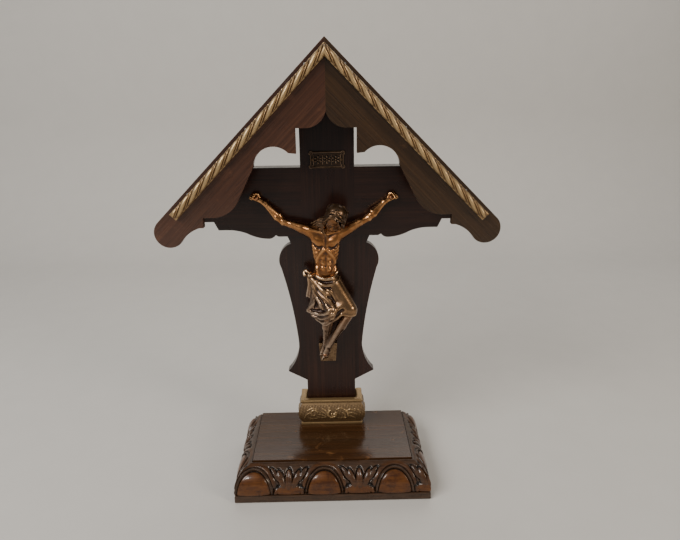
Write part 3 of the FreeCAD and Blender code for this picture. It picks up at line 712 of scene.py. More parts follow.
@dataclass(frozen=True)
class ScrollCarving:
    """The collar's pressed leaf scroll, drawn along the swelling in millimetres.

    Fields:
        shift: how far the scroll is moved along.
        depth: how far a bold stroke stands out.
        faint: how high a leaf's stroke is beside a bold one.
    """

    shift: float = 0.0
    depth: float = 0.62
    faint: float = 0.42

    @staticmethod
    def curl(centre: Flat, radius: float, start: float, turns: float, shrink: float) -> list[Flat]:
        """Draw a spiral.

        Args:
            centre, radius: where it winds round and how far out it starts.
            start: the angle it starts at, in degrees.
            turns: how far it winds.
            shrink: its last radius as a share of the first.

        Returns:
            Its points.
        """
        points = []
        for step in range(int(20 * turns) + 1):
            share = step / (20 * turns)
            angle = math.radians(start + 360 * turns * share)
            reach = radius * (1 - (1 - shrink) * share)
            points.append((centre[0] + reach * math.cos(angle), centre[1] + reach * math.sin(angle)))
        return points

    def strokes(self) -> list[tuple[list[Flat], float, float]]:
        """Draw the scroll.

        Returns:
            Each stroke's points, half width and height.
        """
        bold = [
            (self.curl((0.6, -0.6), 4.6, 120, 0.75, 0.72), 0.9),
            (self.curl((2.2, -1.4), 2.6, 150, 0.95, 0.3), 0.7),
            ([(12.6, -4.6), (12.9, -4.6)], 1.0), ([(12.6, 4.0), (15.2, 1.0), (15.6, -2.4)], 0.6),
        ]
        leaves = [
            (self.curl((9.2, -2.2), 3.6, 300, 0.35, 0.9), 0.8),
            (self.curl((-17.4, 0.4), 3.8, 20, 0.85, 0.45), 0.8),
            ([(-2.2, 6.2), (-3.6, 2.0), (-3.4, -2.6), (-1.6, -6.0)], 0.8),
            ([(-4.0, -3.2), (-7.0, 0.4), (-9.4, 2.2)], 0.7), ([(-4.2, -1.0), (-6.0, 3.0), (-8.2, 5.2)], 0.6),
            ([(-4.8, -3.6), (-9.0, -1.4), (-12.4, -0.6)], 0.6),
            ([(-5.4, -4.4), (-10.0, -4.2), (-14.0, -3.4)], 0.55),
            ([(6.0, -4.8), (8.6, -5.8), (10.6, -4.4)], 0.7), ([(5.0, 4.4), (8.6, 5.8), (12.6, 4.0)], 0.7),
            ([(14.0, 2.8), (18.0, 4.6), (22.0, 3.0)], 0.7), ([(15.8, 0.2), (19.6, 1.0), (23.4, -1.2)], 0.6),
            ([(15.6, -2.4), (18.8, -3.4), (22.4, -5.2)], 0.7),
            ([(-14.0, 4.6), (-18.6, 6.0), (-23.0, 3.8)], 0.7),
            ([(-21.4, 1.2), (-24.6, -0.6), (-26.6, -4.0)], 0.7),
            ([(-13.6, -5.2), (-18.0, -5.8), (-22.6, -4.6)], 0.6),
            ([(22.4, 4.6), (25.6, 3.6), (27.6, 0.4)], 0.6),
        ]
        return ([(points, width, 1.0) for points, width in bold]
                + [(points, width, self.faint) for points, width in leaves])

    def cut(self, along: Array, rise: Array) -> ThreeArrays:
        """Work out the carving.

        Args:
            along: places along the moulding.
            rise: places up the swelling, from its middle.

        Returns:
            How far each point stands out, its relief from -1 to 1, and 0 for the glaze.
        """
        x = along - self.shift
        height = np.zeros_like(x)
        for points, width, tall in self.strokes():
            height = np.maximum(height, tall * dome(np.clip(stroke(x, rise, points) / width, 0, 1)))
        ground = 0.20 * np.sin(x * 1.9 + rise * 0.7) * np.sin(rise * 1.3 - x * 0.4)
        height = height * 1.25 + ground - 0.12
        ends = smoothstep(9.6, 7.6, np.abs(rise))
        return height * ends * self.depth, np.clip(height * 0.9, -1, 1) * ends, np.zeros_like(x)


# -------------------- run mouldings
@dataclass(frozen=True)
class Stretch:
    """One stretch of a moulding's section: straight to end, or an arc through via.

    Fields:
        end: where it ends, out from the wall and up, in millimetres.
        via: a point that the arc passes through.
        step: how far apart the grid's lines are.
        carved: the stretch is the carved face.
    """

    end: Flat
    via: Flat | None = None
    step: float = 1.2
    carved: bool = False

    def points(self, start: Flat) -> Array:
        """Lay the stretch out.

        Args:
            start: where it starts.

        Returns:
            Points from start up to, and without, the end.
        """
        first, last = np.array(start), np.array(self.end)
        if self.via is None:
            count = max(2, round(float(np.hypot(*(last - first))) / self.step))
            share = np.arange(count)[:, None] / count
            return first + (last - first) * share
        middle = np.array(self.via)
        (ax, ay), (bx, by), (cx, cy) = first, middle, last
        d = 2 * (ax * (by - cy) + bx * (cy - ay) + cx * (ay - by))
        a2, b2, c2 = first @ first, middle @ middle, last @ last
        centre = np.array([(a2 * (by - cy) + b2 * (cy - ay) + c2 * (ay - by)) / d,
                           (a2 * (cx - bx) + b2 * (ax - cx) + c2 * (bx - ax)) / d])
        angles = [math.atan2(*(spot - centre)[::-1]) for spot in (first, middle, last)]
        sweep = (angles[2] - angles[0]) % math.tau
        if (angles[1] - angles[0]) % math.tau > sweep:
            sweep -= math.tau
        radius = float(np.hypot(*(first - centre)))
        count = max(2, round(abs(sweep) * radius / self.step))
        turn = angles[0] + sweep * np.arange(count) / count
        return centre + radius * np.column_stack([np.cos(turn), np.sin(turn)])


@dataclass(frozen=True)
class Run:
    """Where a moulding runs, in millimetres.

    Fields:
        origin: a point on the wall line that the section is measured from.
        along, out, up: unit directions of the run, away from the wall, and up the section.
        start, end: where it starts and ends along, then how that moves with out and with up.
    """

    origin: Vector
    along: Vector
    out: Vector
    up: Vector
    start: Spot
    end: Spot


FAR_OFF = -1e3  # a height at which no pattern has any carving


@dataclass
class RunMoulding:
    """A moulding bent from a grid round its section, run between two cut ends and carved.

    Fields:
        name: the piece's name.
        start, section: where the section starts, and its stretches back to there.
        run: where it runs.
        pattern: what its carved face is carved with.
        spacing: how far apart the grid's lines are along it.
        soften: how often the section's corners are eased.
        middle_rise: the pattern counts its height from the middle of the carved face.
        surroundings: how often the section is eased to tell its rounds from its hollows.
    """

    name: str
    start: Flat
    section: list[Stretch]
    run: Run
    pattern: Carving
    spacing: float = 0.42
    soften: int = 3
    middle_rise: bool = False
    surroundings: int = 14

    def outline(self) -> ThreeArrays:
        """Lay the section out.

        Returns:
            The softened section, its outward normals, and how far each point is up the carved face.
        """
        points, carved, spot = [], [], self.start
        for stretch in self.section:
            made = stretch.points(spot)
            points.append(made)
            carved += [stretch.carved] * len(made)
            spot = stretch.end
        line = np.vstack(points)
        carved = np.array(carved)
        for _ in range(self.soften):
            line = (np.roll(line, 1, 0) + 2 * line + np.roll(line, -1, 0)) / 4
        tangent = np.roll(line, -1, 0) - np.roll(line, 1, 0)
        normal = np.column_stack([tangent[:, 1], -tangent[:, 0]])
        normal /= np.linalg.norm(normal, axis=1)[:, None]
        gaps = np.linalg.norm(line - np.roll(line, 1, 0), axis=1)
        rise = np.where(carved, np.cumsum(np.where(carved, gaps, 0)), np.nan)
        if self.middle_rise:
            rise -= np.nanmax(rise) / 2
        return line, normal, rise

    def hollow(self, line: Array, normal: Array) -> Array:
        """Tell the section's rounds from its hollows.

        Args:
            line, normal: its points and their outward normals.

        Returns:
            How far each point stands proud of its surroundings, in millimetres.
        """
        wide = line
        for _ in range(self.surroundings):
            wide = (np.roll(wide, 1, 0) + 2 * wide + np.roll(wide, -1, 0)) / 4
        return np.sum((line - wide) * normal, axis=1)

    def build(self) -> Object:
        """Make the moulding as one closed mesh with its glaze and relief values.

        Returns:
            The piece.
        """
        line, normal, rise = self.outline()
        proud = self.hollow(line, normal)
        line, normal = np.vstack([line, line[:1]]), np.vstack([normal, normal[:1]])
        rise, proud = np.append(rise, rise[0]), np.append(proud, proud[0])
        run = self.run
        length = run.end[0] - run.start[0]
        columns, rows = max(8, round(length / self.spacing)), len(line) - 1
        clear_selection()
        bpy.ops.mesh.primitive_grid_add(x_subdivisions=columns, y_subdivisions=rows, size=1)
        piece = bpy.context.object
        piece.name = piece.data.name = self.name
        flat = np.empty(len(piece.data.vertices) * 3)
        piece.data.vertices.foreach_get("co", flat)
        flat = flat.reshape(-1, 3) + 0.5
        share, row = flat[:, 0], np.rint(flat[:, 1] * rows).astype(int)
        out, up = line[row, 0], line[row, 1]
        along = self.station(share, out, up)
        plain = np.isnan(rise[row])
        height, relief, glaze = self.pattern.cut(along, np.where(plain, FAR_OFF, rise[row]))
        height, glaze = np.where(plain, 0, height), np.where(plain, 0, glaze)
        relief = np.where(plain, np.clip(proud[row] * 2.4, -1, 1), relief + proud[row])
        out, up = out + normal[row, 0] * height, up + normal[row, 1] * height
        along = self.station(share, out, up)
        spots = (np.outer(along, run.along) + np.outer(out, run.out) + np.outer(up, run.up)
                 + np.array(run.origin)) * MM
        piece.data.vertices.foreach_set("co", spots.ravel())
        write_values(piece, glaze=glaze, relief=relief)
        bpy.ops.object.mode_set(mode="EDIT")
        bpy.ops.mesh.select_all(action="SELECT")
        bpy.ops.mesh.remove_doubles(threshold=0.001 * MM)
        bpy.ops.mesh.fill_holes(sides=0)
        bpy.ops.mesh.select_all(action="SELECT")
        bpy.ops.mesh.normals_make_consistent(inside=False)
        bpy.ops.object.mode_set(mode="OBJECT")
        bpy.ops.object.shade_smooth_by_angle(angle=math.radians(50))
        return piece

    def station(self, share: Array, out: Array, up: Array) -> Array:
        """Find places along the run, between ends cut on the slant.

        Args:
            share: shares of the run's length.
            out, up: where on the section they are.

        Returns:
            How far along each is.
        """
        start = self.run.start[0] + self.run.start[1] * out + self.run.start[2] * up
        end = self.run.end[0] + self.run.end[1] * out + self.run.end[2] * up
        return start + (end - start) * share


@dataclass
class MouldedFrame:
    """Three mitred mouldings round the front and sides of a block.

    Fields:
        node, slot: the start of the CAD nodes' names, and their material slot.
        start, section, spacing, middle_rise: as for each moulding.
        pattern, side_pattern: what the front and the sides are carved with.
        half_width, front, back: the block's sides, front and back.
    """

    node: str
    slot: str
    start: Flat
    section: list[Stretch]
    pattern: Carving
    side_pattern: Carving
    half_width: float
    front: float
    back: float
    middle_rise: bool = False
    spacing: float = 0.42

    def runs(self) -> dict[str, Run]:
        """Find where the front, the left and the right moulding run.

        Returns:
            Each run, under the last word of its node's name.
        """
        up = Vector((0, 0, 1))
        made = {"front": Run(Vector((0, self.front, 0)), Vector((1, 0, 0)), Vector((0, -1, 0)), up,
                             (-self.half_width, -1, 0), (self.half_width, 1, 0))}
        for side in Side:
            made[side.word] = Run(Vector((side.value * self.half_width, 0, 0)), Vector((0, 1, 0)),
                                  Vector((side.value, 0, 0)), up,
                                  (self.front, -1, 0), (self.back, 0, 0))
        return made

    def build(self, finish: Material) -> None:
        """Make, dress and place the three mouldings.

        Args:
            finish: their material.
        """
        for word, run in self.runs().items():
            pattern = self.pattern if word == "front" else self.side_pattern
            moulding = RunMoulding(f"carved_{self.node}_{word}", self.start, self.section, run,
                                   pattern, middle_rise=self.middle_rise, spacing=self.spacing)
            piece = moulding.build()
            dress(piece, finish)
            stand_for(piece, self.slot, f"{self.node}_{word}")


def strand_round(distance: Array) -> Array:
    """A strand's height over distances from -1 to 1, with a groove's V at its edges."""
    return np.cos(np.clip(np.abs(distance), 0, 1) * math.pi / 2) ** 0.62


@dataclass(frozen=True)
class TwistedStrands:
    """A fat and a thin strand laid together, drawn along a half round in millimetres.

    Fields:
        radius, length: the rope's.
        lay: from one fat strand to the next.
        slant: how far a strand runs along for each millimetre across.
        fat, thin: half of each strand's share of the lay.
    """

    radius: float
    length: float
    lay: float = 14.7
    slant: float = 2.05
    fat: float = 0.37
    thin: float = 0.115

    def cut(self, along: Array, rise: Array) -> ThreeArrays:
        """Work out the strands.

        Args:
            along: places along the rope.
            rise: places round the half round, from its middle.

        Returns:
            How far each point stands out, its relief from -1 to 1, and 0 for the glaze.
        """
        angle = rise / self.radius
        across = self.radius * np.sin(angle)
        phase = ((along + self.slant * across) / self.lay) % 1.0
        fat = strand_round((phase - self.fat) / self.fat)
        thin = 0.62 * strand_round((phase - (1 - self.thin)) / self.thin)
        bulge = np.maximum(fat, thin)
        left = np.clip((self.length - along) / (1.6 * self.radius), 0, 1)
        share = (0.60 + 0.46 * bulge) * np.sqrt(1 - (1 - left) ** 2)
        edge = smoothstep(self.radius * 1.571, self.radius * 1.35, np.abs(rise))
        relief = np.clip((bulge - 0.42) * 1.7, -1, 1)
        return (share - 1) * self.radius * (0.35 + 0.65 * edge), relief, np.zeros_like(relief)


@dataclass
class RopeMoulding:
    """One rope moulding down the front of a fascia, mitred at the ridge.

    Fields:
        side: which fascia.
        width: the rope's, in millimetres.
        below: how far its middle is under the roof board's top, in millimetres.
        pitch: the roof's, in degrees.
    """

    side: Side
    width: float = 6.8
    below: float = 6.3
    pitch: float = 45.0

    def build(self, finish: Material) -> None:
        """Make, dress and place the rope.

        Args:
            finish: its material.
        """
        node = "rope_" + self.side.word
        low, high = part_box(node)
        radius = self.width / 2
        sine, cosine = math.sin(math.radians(self.pitch)), math.cos(math.radians(self.pitch))
        ridge_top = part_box("roof_board_" + self.side.word)[1].z / MM
        wall = high.y / MM - radius
        length = (ridge_top - low.z / MM - self.below * cosine - radius) / sine + radius
        across = self.side.value
        run = Run(Vector((0, wall, ridge_top)), Vector((across * cosine, 0, -sine)), Vector((0, -1, 0)),
                  Vector((across * sine, 0, cosine)), (0, 0, -sine / cosine), (length, 0, 0))
        bottom, top = -self.below - radius, -self.below + radius
        section = [Stretch((0.0, top), via=(radius, -self.below), step=0.22, carved=True),
                   Stretch((-0.6, top)), Stretch((-0.6, bottom)), Stretch((0.0, bottom))]
        strands = TwistedStrands(radius, length)
        piece = RunMoulding("twisted_" + node, (0.0, bottom), section, run, strands, spacing=0.22,
                            soften=1, middle_rise=True).build()
        dress(piece, finish)
        stand_for(piece, "gilt_wood", node)


# -------------------- plain woodwork
@dataclass
class Joinery:
    """The boards that keep their CAD shape, each with eased edges and its own grain.

    Fields:
        easing: how wide the rounded edge of a board is, whose lighter colour is partly wear and partly a
            painted highlight.
        lying, slope: the grain's turn on a board that lies and on one that slopes.
    """

    easing: float = 0.55 * MM
    lying: float = math.pi / 2
    slope: float = math.pi / 4

    def finishes(self) -> dict[str, WoodFinish]:
        """Choose the boards' finishes.

        Returns:
            Each board's own finish, by its node.
        """
        walnut = dict(dark=(0.0060, 0.0019, 0.0013, 1), mid=(0.0175, 0.0056, 0.0034, 1),
                      light=(0.052, 0.019, 0.009, 1))
        # The roof boards and fascias are one wood: the left pair's reddish tint and the right pair's greener
        # tint are painted light, each side lit differently.
        left_painted_light_red = dict(dark=(0.019, 0.0075, 0.0045, 1), mid=(0.050, 0.020, 0.011, 1),
                   light=(0.115, 0.048, 0.024, 1))
        right_painted_light_olive = dict(dark=(0.012, 0.0062, 0.0028, 1), mid=(0.031, 0.0155, 0.0065, 1),
                     light=(0.075, 0.037, 0.014, 1))
        fascia = dict(coat=0.8, rough=(0.18, 0.34))
        return {
            "base_board": WoodFinish(
                "base_board_varnish", dark=(0.016, 0.007, 0.003, 1), mid=(0.042, 0.018, 0.007, 1),
                light=(0.095, 0.042, 0.015, 1), turn=self.lying, coat=0.75, rough=(0.12, 0.26), worn=0.5),
            "post": WoodFinish("post_varnish", **walnut, figure=2.6 * MM, coat=0.5, shift=(0.2, 0, 0)),
            "cross_arm": WoodFinish("arm_varnish", **walnut, turn=self.lying, figure=3.6 * MM,
                                    coat=0.5, shift=(0.5, 0, 0.1)),
            "wing_left": WoodFinish("left_wing_varnish", **walnut, figure=3.0 * MM, shift=(0.7, 0, 0.3)),
            "wing_right": WoodFinish(
                "right_wing_varnish", dark=(0.006, 0.002, 0.0015, 1), mid=(0.020, 0.006, 0.0038, 1),
                light=(0.050, 0.015, 0.008, 1), figure=4.2 * MM, shift=(0.9, 0, 0.5)),
            "roof_board_left": WoodFinish("left_roof_varnish", **left_painted_light_red, turn=-self.slope, shift=(1.1, 0, 0)),
            "roof_board_right": WoodFinish("right_roof_varnish", **right_painted_light_olive, turn=self.slope,
                                           shift=(1.3, 0, 0)),
            "fascia_left": WoodFinish("left_fascia_varnish", **left_painted_light_red, **fascia, turn=-self.slope,
                                      worn=0.12, shift=(1.5, 0, 0)),
            "fascia_right": WoodFinish("right_fascia_varnish", **right_painted_light_olive, **fascia, turn=self.slope,
                                       worn=0.2, shift=(1.7, 0, 0)),
        }

    @staticmethod
    def worn_and_highlit_edge_of(finish: WoodFinish) -> WoodFinish:
        """The same finish made lighter for the board's edges: partly worn thin, partly a painted highlight.
        """
        return replace(finish, name=finish.name + "_worn_edge", dark=tinted(finish.dark, 1.7),
                       mid=tinted(finish.mid, 2.0), light=tinted(finish.light, 1.9), worn=0.0)

    def build(self, nodes: dict[str, Object]) -> None:
        """Dress every board and ease its edges.

        Args:
            nodes: the CAD nodes by name.
        """
        for name, finish in self.finishes().items():
            dress(nodes[name], finish.build(), self.worn_and_highlit_edge_of(finish).build())
            # The rounds take slot 1, the lighter edge colour: wear and a painted highlight.
            ease_edges(nodes[name], self.easing, edge_material=1)
            LOG.info("%s: dressed as %s", name, finish.name)


@dataclass
class Fixings:
    """The nails, pins, screws and dowels."""

    copper: PlainMetal = field(default_factory=lambda: PlainMetal(
        "plated_nail", (0.50, 0.26, 0.14, 1), (0.16, 0.07, 0.04, 1)))
    steel: PlainMetal = field(default_factory=lambda: PlainMetal(
        "bright_steel", (0.52, 0.51, 0.49, 1), (0.25, 0.24, 0.23, 1)))
    brass: PlainMetal = field(default_factory=lambda: PlainMetal(
        "dark_brass", (0.20, 0.12, 0.06, 1), (0.06, 0.035, 0.02, 1)))

    def build(self, nodes: dict[str, Object]) -> None:
        """Dress every fixing.

        Args:
            nodes: the CAD nodes by name.
        """
        copper, steel, brass = self.copper.build(), self.steel.build(), self.brass.build()
        beech = WoodFinish("plain_beech", dark=(0.30, 0.18, 0.09, 1), mid=(0.45, 0.29, 0.16, 1),
                           light=(0.60, 0.42, 0.25, 1), turn=math.pi / 2, coat=0.0,
                           rough=(0.5, 0.7)).build()
        groups = ((copper, ("hand_nail_left", "hand_nail_right", "feet_nail")),
                  (steel, ("post_screws", "moulding_pins", "collar_pins", "roof_pins", "fascia_pins")),
                  (brass, ("plaque_pins",)), (beech, ("wing_dowels",)))
        for material, names in groups:
            for name in names:
                dress(nodes[name], material)
                LOG.info("%s: dressed as %s", name, material.name)


# -------------------- clay
EMPTY = 9.0  # the distance to the skin where there is no clay near, in millimetres


@dataclass
class Clay:
    """A lump of clay, kept as distances to its skin on a grid, in millimetres.

    Its axes are across, forward from the wood and up, so forward is the frame's -Y.

    Fields:
        wall: where the wood's face is along Y.
        low, high: two corners of the grid.
        cell: how far apart the grid's places are.
    """

    wall: float
    low: Spot
    high: Spot
    cell: float

    def __post_init__(self) -> None:
        """Lay out the grid, empty."""
        self.origin = np.array(self.low, float)
        self.count = np.ceil((np.array(self.high) - self.origin) / self.cell).astype(int) + 1
        self.distance = np.full(self.count, EMPTY, np.float32)
        self.fronts: Array | None = None

    def window(self, low: Array, high: Array) -> tuple[tuple[slice, ...], list[Array]]:
        """Find the part of the grid between two corners.

        Args:
            low, high: the corners.

        Returns:
            Its slices, and its places along each axis, shaped to spread over it.
        """
        first = np.clip(np.floor((low - self.origin) / self.cell).astype(int), 0, self.count - 1)
        last = np.clip(np.ceil((high - self.origin) / self.cell).astype(int) + 1, 1, self.count)
        part = tuple(slice(a, b) for a, b in zip(first, last))
        places = [self.origin[axis] + self.cell * np.arange(first[axis], last[axis]) for axis in range(3)]
        shaped = [places[0][:, None, None], places[1][None, :, None], places[2][None, None, :]]
        return part, [place.astype(np.float32) for place in shaped]

    def blend(self, part: tuple[slice, ...], shape: Array, soft: float, cut: bool) -> None:
        """Join a shape to the clay.

        Args:
            part: the part of the grid that it is worked out on.
            shape: its distances there.
            soft: how wide the join is.
            cut: take it away instead.
        """
        here = -self.distance[part] if cut else self.distance[part]
        share = np.clip(0.5 + 0.5 * (here - shape) / soft, 0, 1)
        joined = here + (shape - here) * share - soft * share * (1 - share)
        self.distance[part] = -joined if cut else joined

    def ball(self, centre: Spot, radii: Spot, soft: float = 1.0, cut: bool = False,
             lean: float = 0.0) -> None:
        """Add or cut a rounded lump.

        Args:
            centre, radii: its middle and its half sizes.
            soft: how wide its join is.
            cut: take it away instead.
            lean: its tilt seen from the front, in degrees clockwise.
        """
        centre_at, sizes = np.array(centre, float), np.array(radii, float)
        reach = max(sizes) + 2 * soft + 1
        part, (x, y, z) = self.window(centre_at - reach, centre_at + reach)
        x, y, z = x - centre_at[0], y - centre_at[1], z - centre_at[2]
        if lean:
            sine, cosine = math.sin(math.radians(lean)), math.cos(math.radians(lean))
            x, z = x * cosine - z * sine, x * sine + z * cosine
        near = np.sqrt((x / sizes[0]) ** 2 + (y / sizes[1]) ** 2 + (z / sizes[2]) ** 2)
        slope = np.sqrt((x / sizes[0] ** 2) ** 2 + (y / sizes[1] ** 2) ** 2 + (z / sizes[2] ** 2) ** 2)
        self.blend(part, near * (near - 1) / np.maximum(slope, 1e-6), soft, cut)

    def bone(self, start: Spot, stop: Spot, first: float, last: float, soft: float = 1.0,
             cut: bool = False) -> None:
        """Add or cut a round limb.

        Args:
            start, stop: its ends.
            first, last: its radius at each end.
            soft, cut: as for a ball.
        """
        a, b = np.array(start, float), np.array(stop, float)
        reach = max(first, last) + 2 * soft + 1
        part, (x, y, z) = self.window(np.minimum(a, b) - reach, np.maximum(a, b) + reach)
        line = b - a
        share = ((x - a[0]) * line[0] + (y - a[1]) * line[1] + (z - a[2]) * line[2]) / max(line @ line, 1e-9)
        share = np.clip(share, 0, 1)
        away = np.sqrt((x - a[0] - share * line[0]) ** 2 + (y - a[1] - share * line[1]) ** 2
                       + (z - a[2] - share * line[2]) ** 2)
        self.blend(part, away - (first + (last - first) * share), soft, cut)

    def cord(self, spots: list[Spot], first: float, last: float, soft: float = 0.6,
             cut: bool = False) -> None:
        """Add or cut a line of limbs.

        Args:
            spots: the places it runs through.
            first, last: its radius at each end.
            soft, cut: as for a ball.
        """
        steps = len(spots) - 1
        for index, (start, stop) in enumerate(zip(spots, spots[1:])):
            thick = first + (last - first) * index / steps
            thin = first + (last - first) * (index + 1) / steps
            self.bone(start, stop, thick, thin, soft, cut)

    def look(self) -> None:
        """Note where the clay's front is now, for lay() to follow."""
        filled = self.distance < 0
        depth = self.count[1] - 1 - np.argmax(filled[:, ::-1, :], axis=1)
        self.fronts = np.where(filled.any(axis=1), self.origin[1] + self.cell * depth, np.nan)

    def lay(self, line: list[Flat], first: float, last: float, sink: float = 0.3,
            soft: float = 0.7, cut: bool = False) -> None:
        """Lay a curved roll on the front of the clay, or press a groove into it.

        Args:
            line: points across and up that the roll is drawn through.
            first, last: its radius at each end.
            sink: how far its middle is under the surface, as a share of its radius.
            soft: how wide its join is.
            cut: press a groove instead.
        """
        drawn = smooth_line(line, 5)
        spots = []
        for index, (across, up) in enumerate(drawn):
            column = np.rint((np.array([across, up]) - self.origin[[0, 2]]) / self.cell).astype(int)
            column = np.clip(column, 0, self.count[[0, 2]] - 1)
            front = float(self.fronts[column[0], column[1]])
            if math.isnan(front):
                front = spots[-1][1] if spots else float(np.nanmedian(self.fronts))
            radius = first + (last - first) * index / (len(drawn) - 1)
            spots.append((across, front - radius * sink, up))
        level = [spot[1] for spot in spots]
        for _ in range(2):
            eased = [(a + 2 * b + c) / 4 for a, b, c in zip(level, level[1:], level[2:])]
            level = [level[0], *eased, level[-1]]
        laid = [(spot[0], depth, spot[2]) for spot, depth in zip(spots, level)]
        self.cord(laid, first, last, soft, cut)

    def trim(self, keep: Array, soft: float = 0.5) -> None:
        """Cut the clay off along a surface.

        Args:
            keep: distances to it over the grid, below zero where the clay stays.
            soft: how rounded the cut's edge is.
        """
        here = self.distance
        share = np.clip(0.5 - 0.5 * (here - keep) / soft, 0, 1)
        self.distance = here + (keep - here) * share + soft * share * (1 - share)

    def grid(self) -> list[Array]:
        """Every place along each axis, shaped to spread over the grid."""
        return self.window(self.origin, self.origin + self.cell * self.count)[1]

    def hollows(self, reach: float) -> Array:
        """Tell rounds from hollows.

        Args:
            reach: how far around each place is looked at.

        Returns:
            The mean distance there: below zero in hollows, above on rounds.
        """
        mean = np.clip(self.distance, -reach, reach)
        size = max(1, round(reach / self.cell))
        for axis in range(3):
            total = np.zeros_like(mean)
            for shift in range(-size, size + 1):
                total += np.roll(mean, shift, axis)
            mean = total / (2 * size + 1)
        return mean

    def skin(self, name: str, reach: float) -> Object:
        """Turn the clay's skin into a mesh of quads.

        Args:
            name: the piece's name.
            reach: how wide the rounds and hollows are that its relief value shows.

        Returns:
            The piece, with relief from 0 in the deepest hollows to 1 on the highest rounds.
        """
        values = self.distance
        inside = values < 0
        corners = np.array([(i, j, k) for i in (0, 1) for j in (0, 1) for k in (0, 1)])
        shape = self.count - 1
        amount = sum(inside[i:i + shape[0], j:j + shape[1], k:k + shape[2]].astype(np.int8)
                     for i, j, k in corners)
        cells = np.argwhere((amount > 0) & (amount < 8))
        around = cells[:, None, :] + corners[None]
        held = values[around[..., 0], around[..., 1], around[..., 2]]
        total, hits = np.zeros((len(cells), 3)), np.zeros(len(cells))
        for a in range(8):
            for b in range(a + 1, 8):
                if np.abs(corners[a] - corners[b]).sum() != 1:
                    continue
                crossed = (held[:, a] < 0) != (held[:, b] < 0)
                share = np.where(crossed, held[:, a] / np.where(crossed, held[:, a] - held[:, b], 1), 0)
                crossing = corners[a] + share[:, None] * (corners[b] - corners[a])
                total += np.where(crossed[:, None], crossing, 0)
                hits += crossed
        spots = cells + total / hits[:, None]
        number = np.full(shape, -1, np.int64)
        number[tuple(cells.T)] = np.arange(len(cells))
        faces = []
        for axis in range(3):
            one, two = (axis + 1) % 3, (axis + 2) % 3
            here = [slice(1, -1)] * 3
            there = [slice(1, -1)] * 3
            here[axis], there[axis] = slice(0, -1), slice(1, None)
            start, stop = inside[tuple(here)], inside[tuple(there)]
            for flip, crossed in ((False, start & ~stop), (True, ~start & stop)):
                found = np.argwhere(crossed)
                found[:, one] += 1
                found[:, two] += 1
                ring = []
                for back_one, back_two in ((1, 1), (0, 1), (0, 0), (1, 0)):
                    cell = found.copy()
                    cell[:, one] -= back_one
                    cell[:, two] -= back_two
                    ring.append(number[tuple(cell.T)])
                quads = np.column_stack(ring)
                faces.append(quads[:, ::-1] if flip else quads)
        quads = np.vstack(faces)[:, ::-1]
        for _ in range(2):
            spots = self.settle(relax(spots, quads, 3))
        relief = self.sample(spots, self.hollows(reach))[0]
        spots = self.origin + self.cell * spots
        placed = np.column_stack([spots[:, 0], self.wall - spots[:, 1], spots[:, 2]]) * MM
        mesh = bpy.data.meshes.new(name)
        mesh.from_pydata(placed.tolist(), [], quads.tolist())
        mesh.shade_smooth()
        piece = bpy.data.objects.new(name, mesh)
        bpy.context.scene.collection.objects.link(piece)
        write_values(piece, relief=np.clip(0.5 + relief * 1.15 / reach, 0, 1))
        return piece

    def sample(self, spots: Array, *fields: Array) -> Array:
        """Read fields between the grid's places.

        Args:
            spots: where, in cells.
            fields: the fields.

        Returns:
            Each field's value at each spot, mixed from the eight corners around.
        """
        base = np.clip(np.floor(spots).astype(int), 0, self.count - 2)
        share = spots - base
        held = np.zeros((len(fields), len(spots)))
        for corner in range(8):
            step = np.array([corner & 1, corner >> 1 & 1, corner >> 2])
            weight = np.prod(np.where(step, share, 1 - share), axis=1)
            cell = tuple((base + step).T)
            for row, field in enumerate(fields):
                held[row] += weight * field[cell]
        return held

    def settle(self, spots: Array) -> Array:
        """Move points straight onto the skin.

        Args:
            spots: the points, in cells.

        Returns:
            Them moved.
        """
        held = self.sample(spots, self.distance, *np.gradient(self.distance, self.cell))
        steep = np.maximum((held[1:] ** 2).sum(axis=0), 0.25)
        move = np.clip(held[0] / steep / self.cell, -0.5, 0.5)
        return spots - (move * held[1:]).T


def heights(piece: Object, axis: int = 2) -> Array:
    """Read a piece's points.

    Args:
        piece: the piece.
        axis: the axis that is read.

    Returns:
        How far each point is along it, in metres.
    """
    spots = np.empty(len(piece.data.vertices) * 3)
    piece.data.vertices.foreach_get("co", spots)
    return spots[axis::3]


def relax(spots: Array, quads: Array, rounds: int) -> Array:
    """Ease each point halfway towards the mean of its neighbours.

    Args:
        spots, quads: the points and faces.
        rounds: how many times.

    Returns:
        The points moved.
    """
    ends = np.vstack([quads[:, [0, 1]], quads[:, [1, 2]], quads[:, [2, 3]], quads[:, [3, 0]]])
    share = np.bincount(ends[:, 0], minlength=len(spots))[:, None]
    for _ in range(rounds):
        total = np.column_stack([np.bincount(ends[:, 0], spots[ends[:, 1], axis], len(spots))
                                 for axis in range(3)])
        spots = spots + 0.5 * (total / np.maximum(share, 1) - spots)
    return spots


def smooth_line(points: list[tuple[float, ...]], parts: int) -> list[tuple[float, ...]]:
    """Draw a flowing curve.

    Args:
        points: what it passes through.
        parts: how many steps there are between two of them.

    Returns:
        The curve's points.
    """
    spots = np.array(points, float)
    padded = np.vstack([2 * spots[0] - spots[1], spots, 2 * spots[-1] - spots[-2]])
    drawn = []
    for a, b, c, d in zip(padded, padded[1:], padded[2:], padded[3:]):
        for step in range(parts):
            t = step / parts
            drawn.append(tuple(0.5 * (2 * b + (c - a) * t + (2 * a - 5 * b + 4 * c - d) * t ** 2
                                      + (3 * b - a - 3 * c + d) * t ** 3)))
    drawn.append(tuple(spots[-1]))
    return drawn


# -------------------- the cast figure
@dataclass(frozen=True)
class Flank:
    """One side of the trunk: which way is out, and where its middle line and its level are."""

    out: int
    middle: float
    rise: float

    def at(self, *places: Flat) -> list[Flat]:
        """Places given as out from the middle line and up, as places in the figure."""
        return [(self.middle + self.out * across, up + self.rise) for across, up in places]


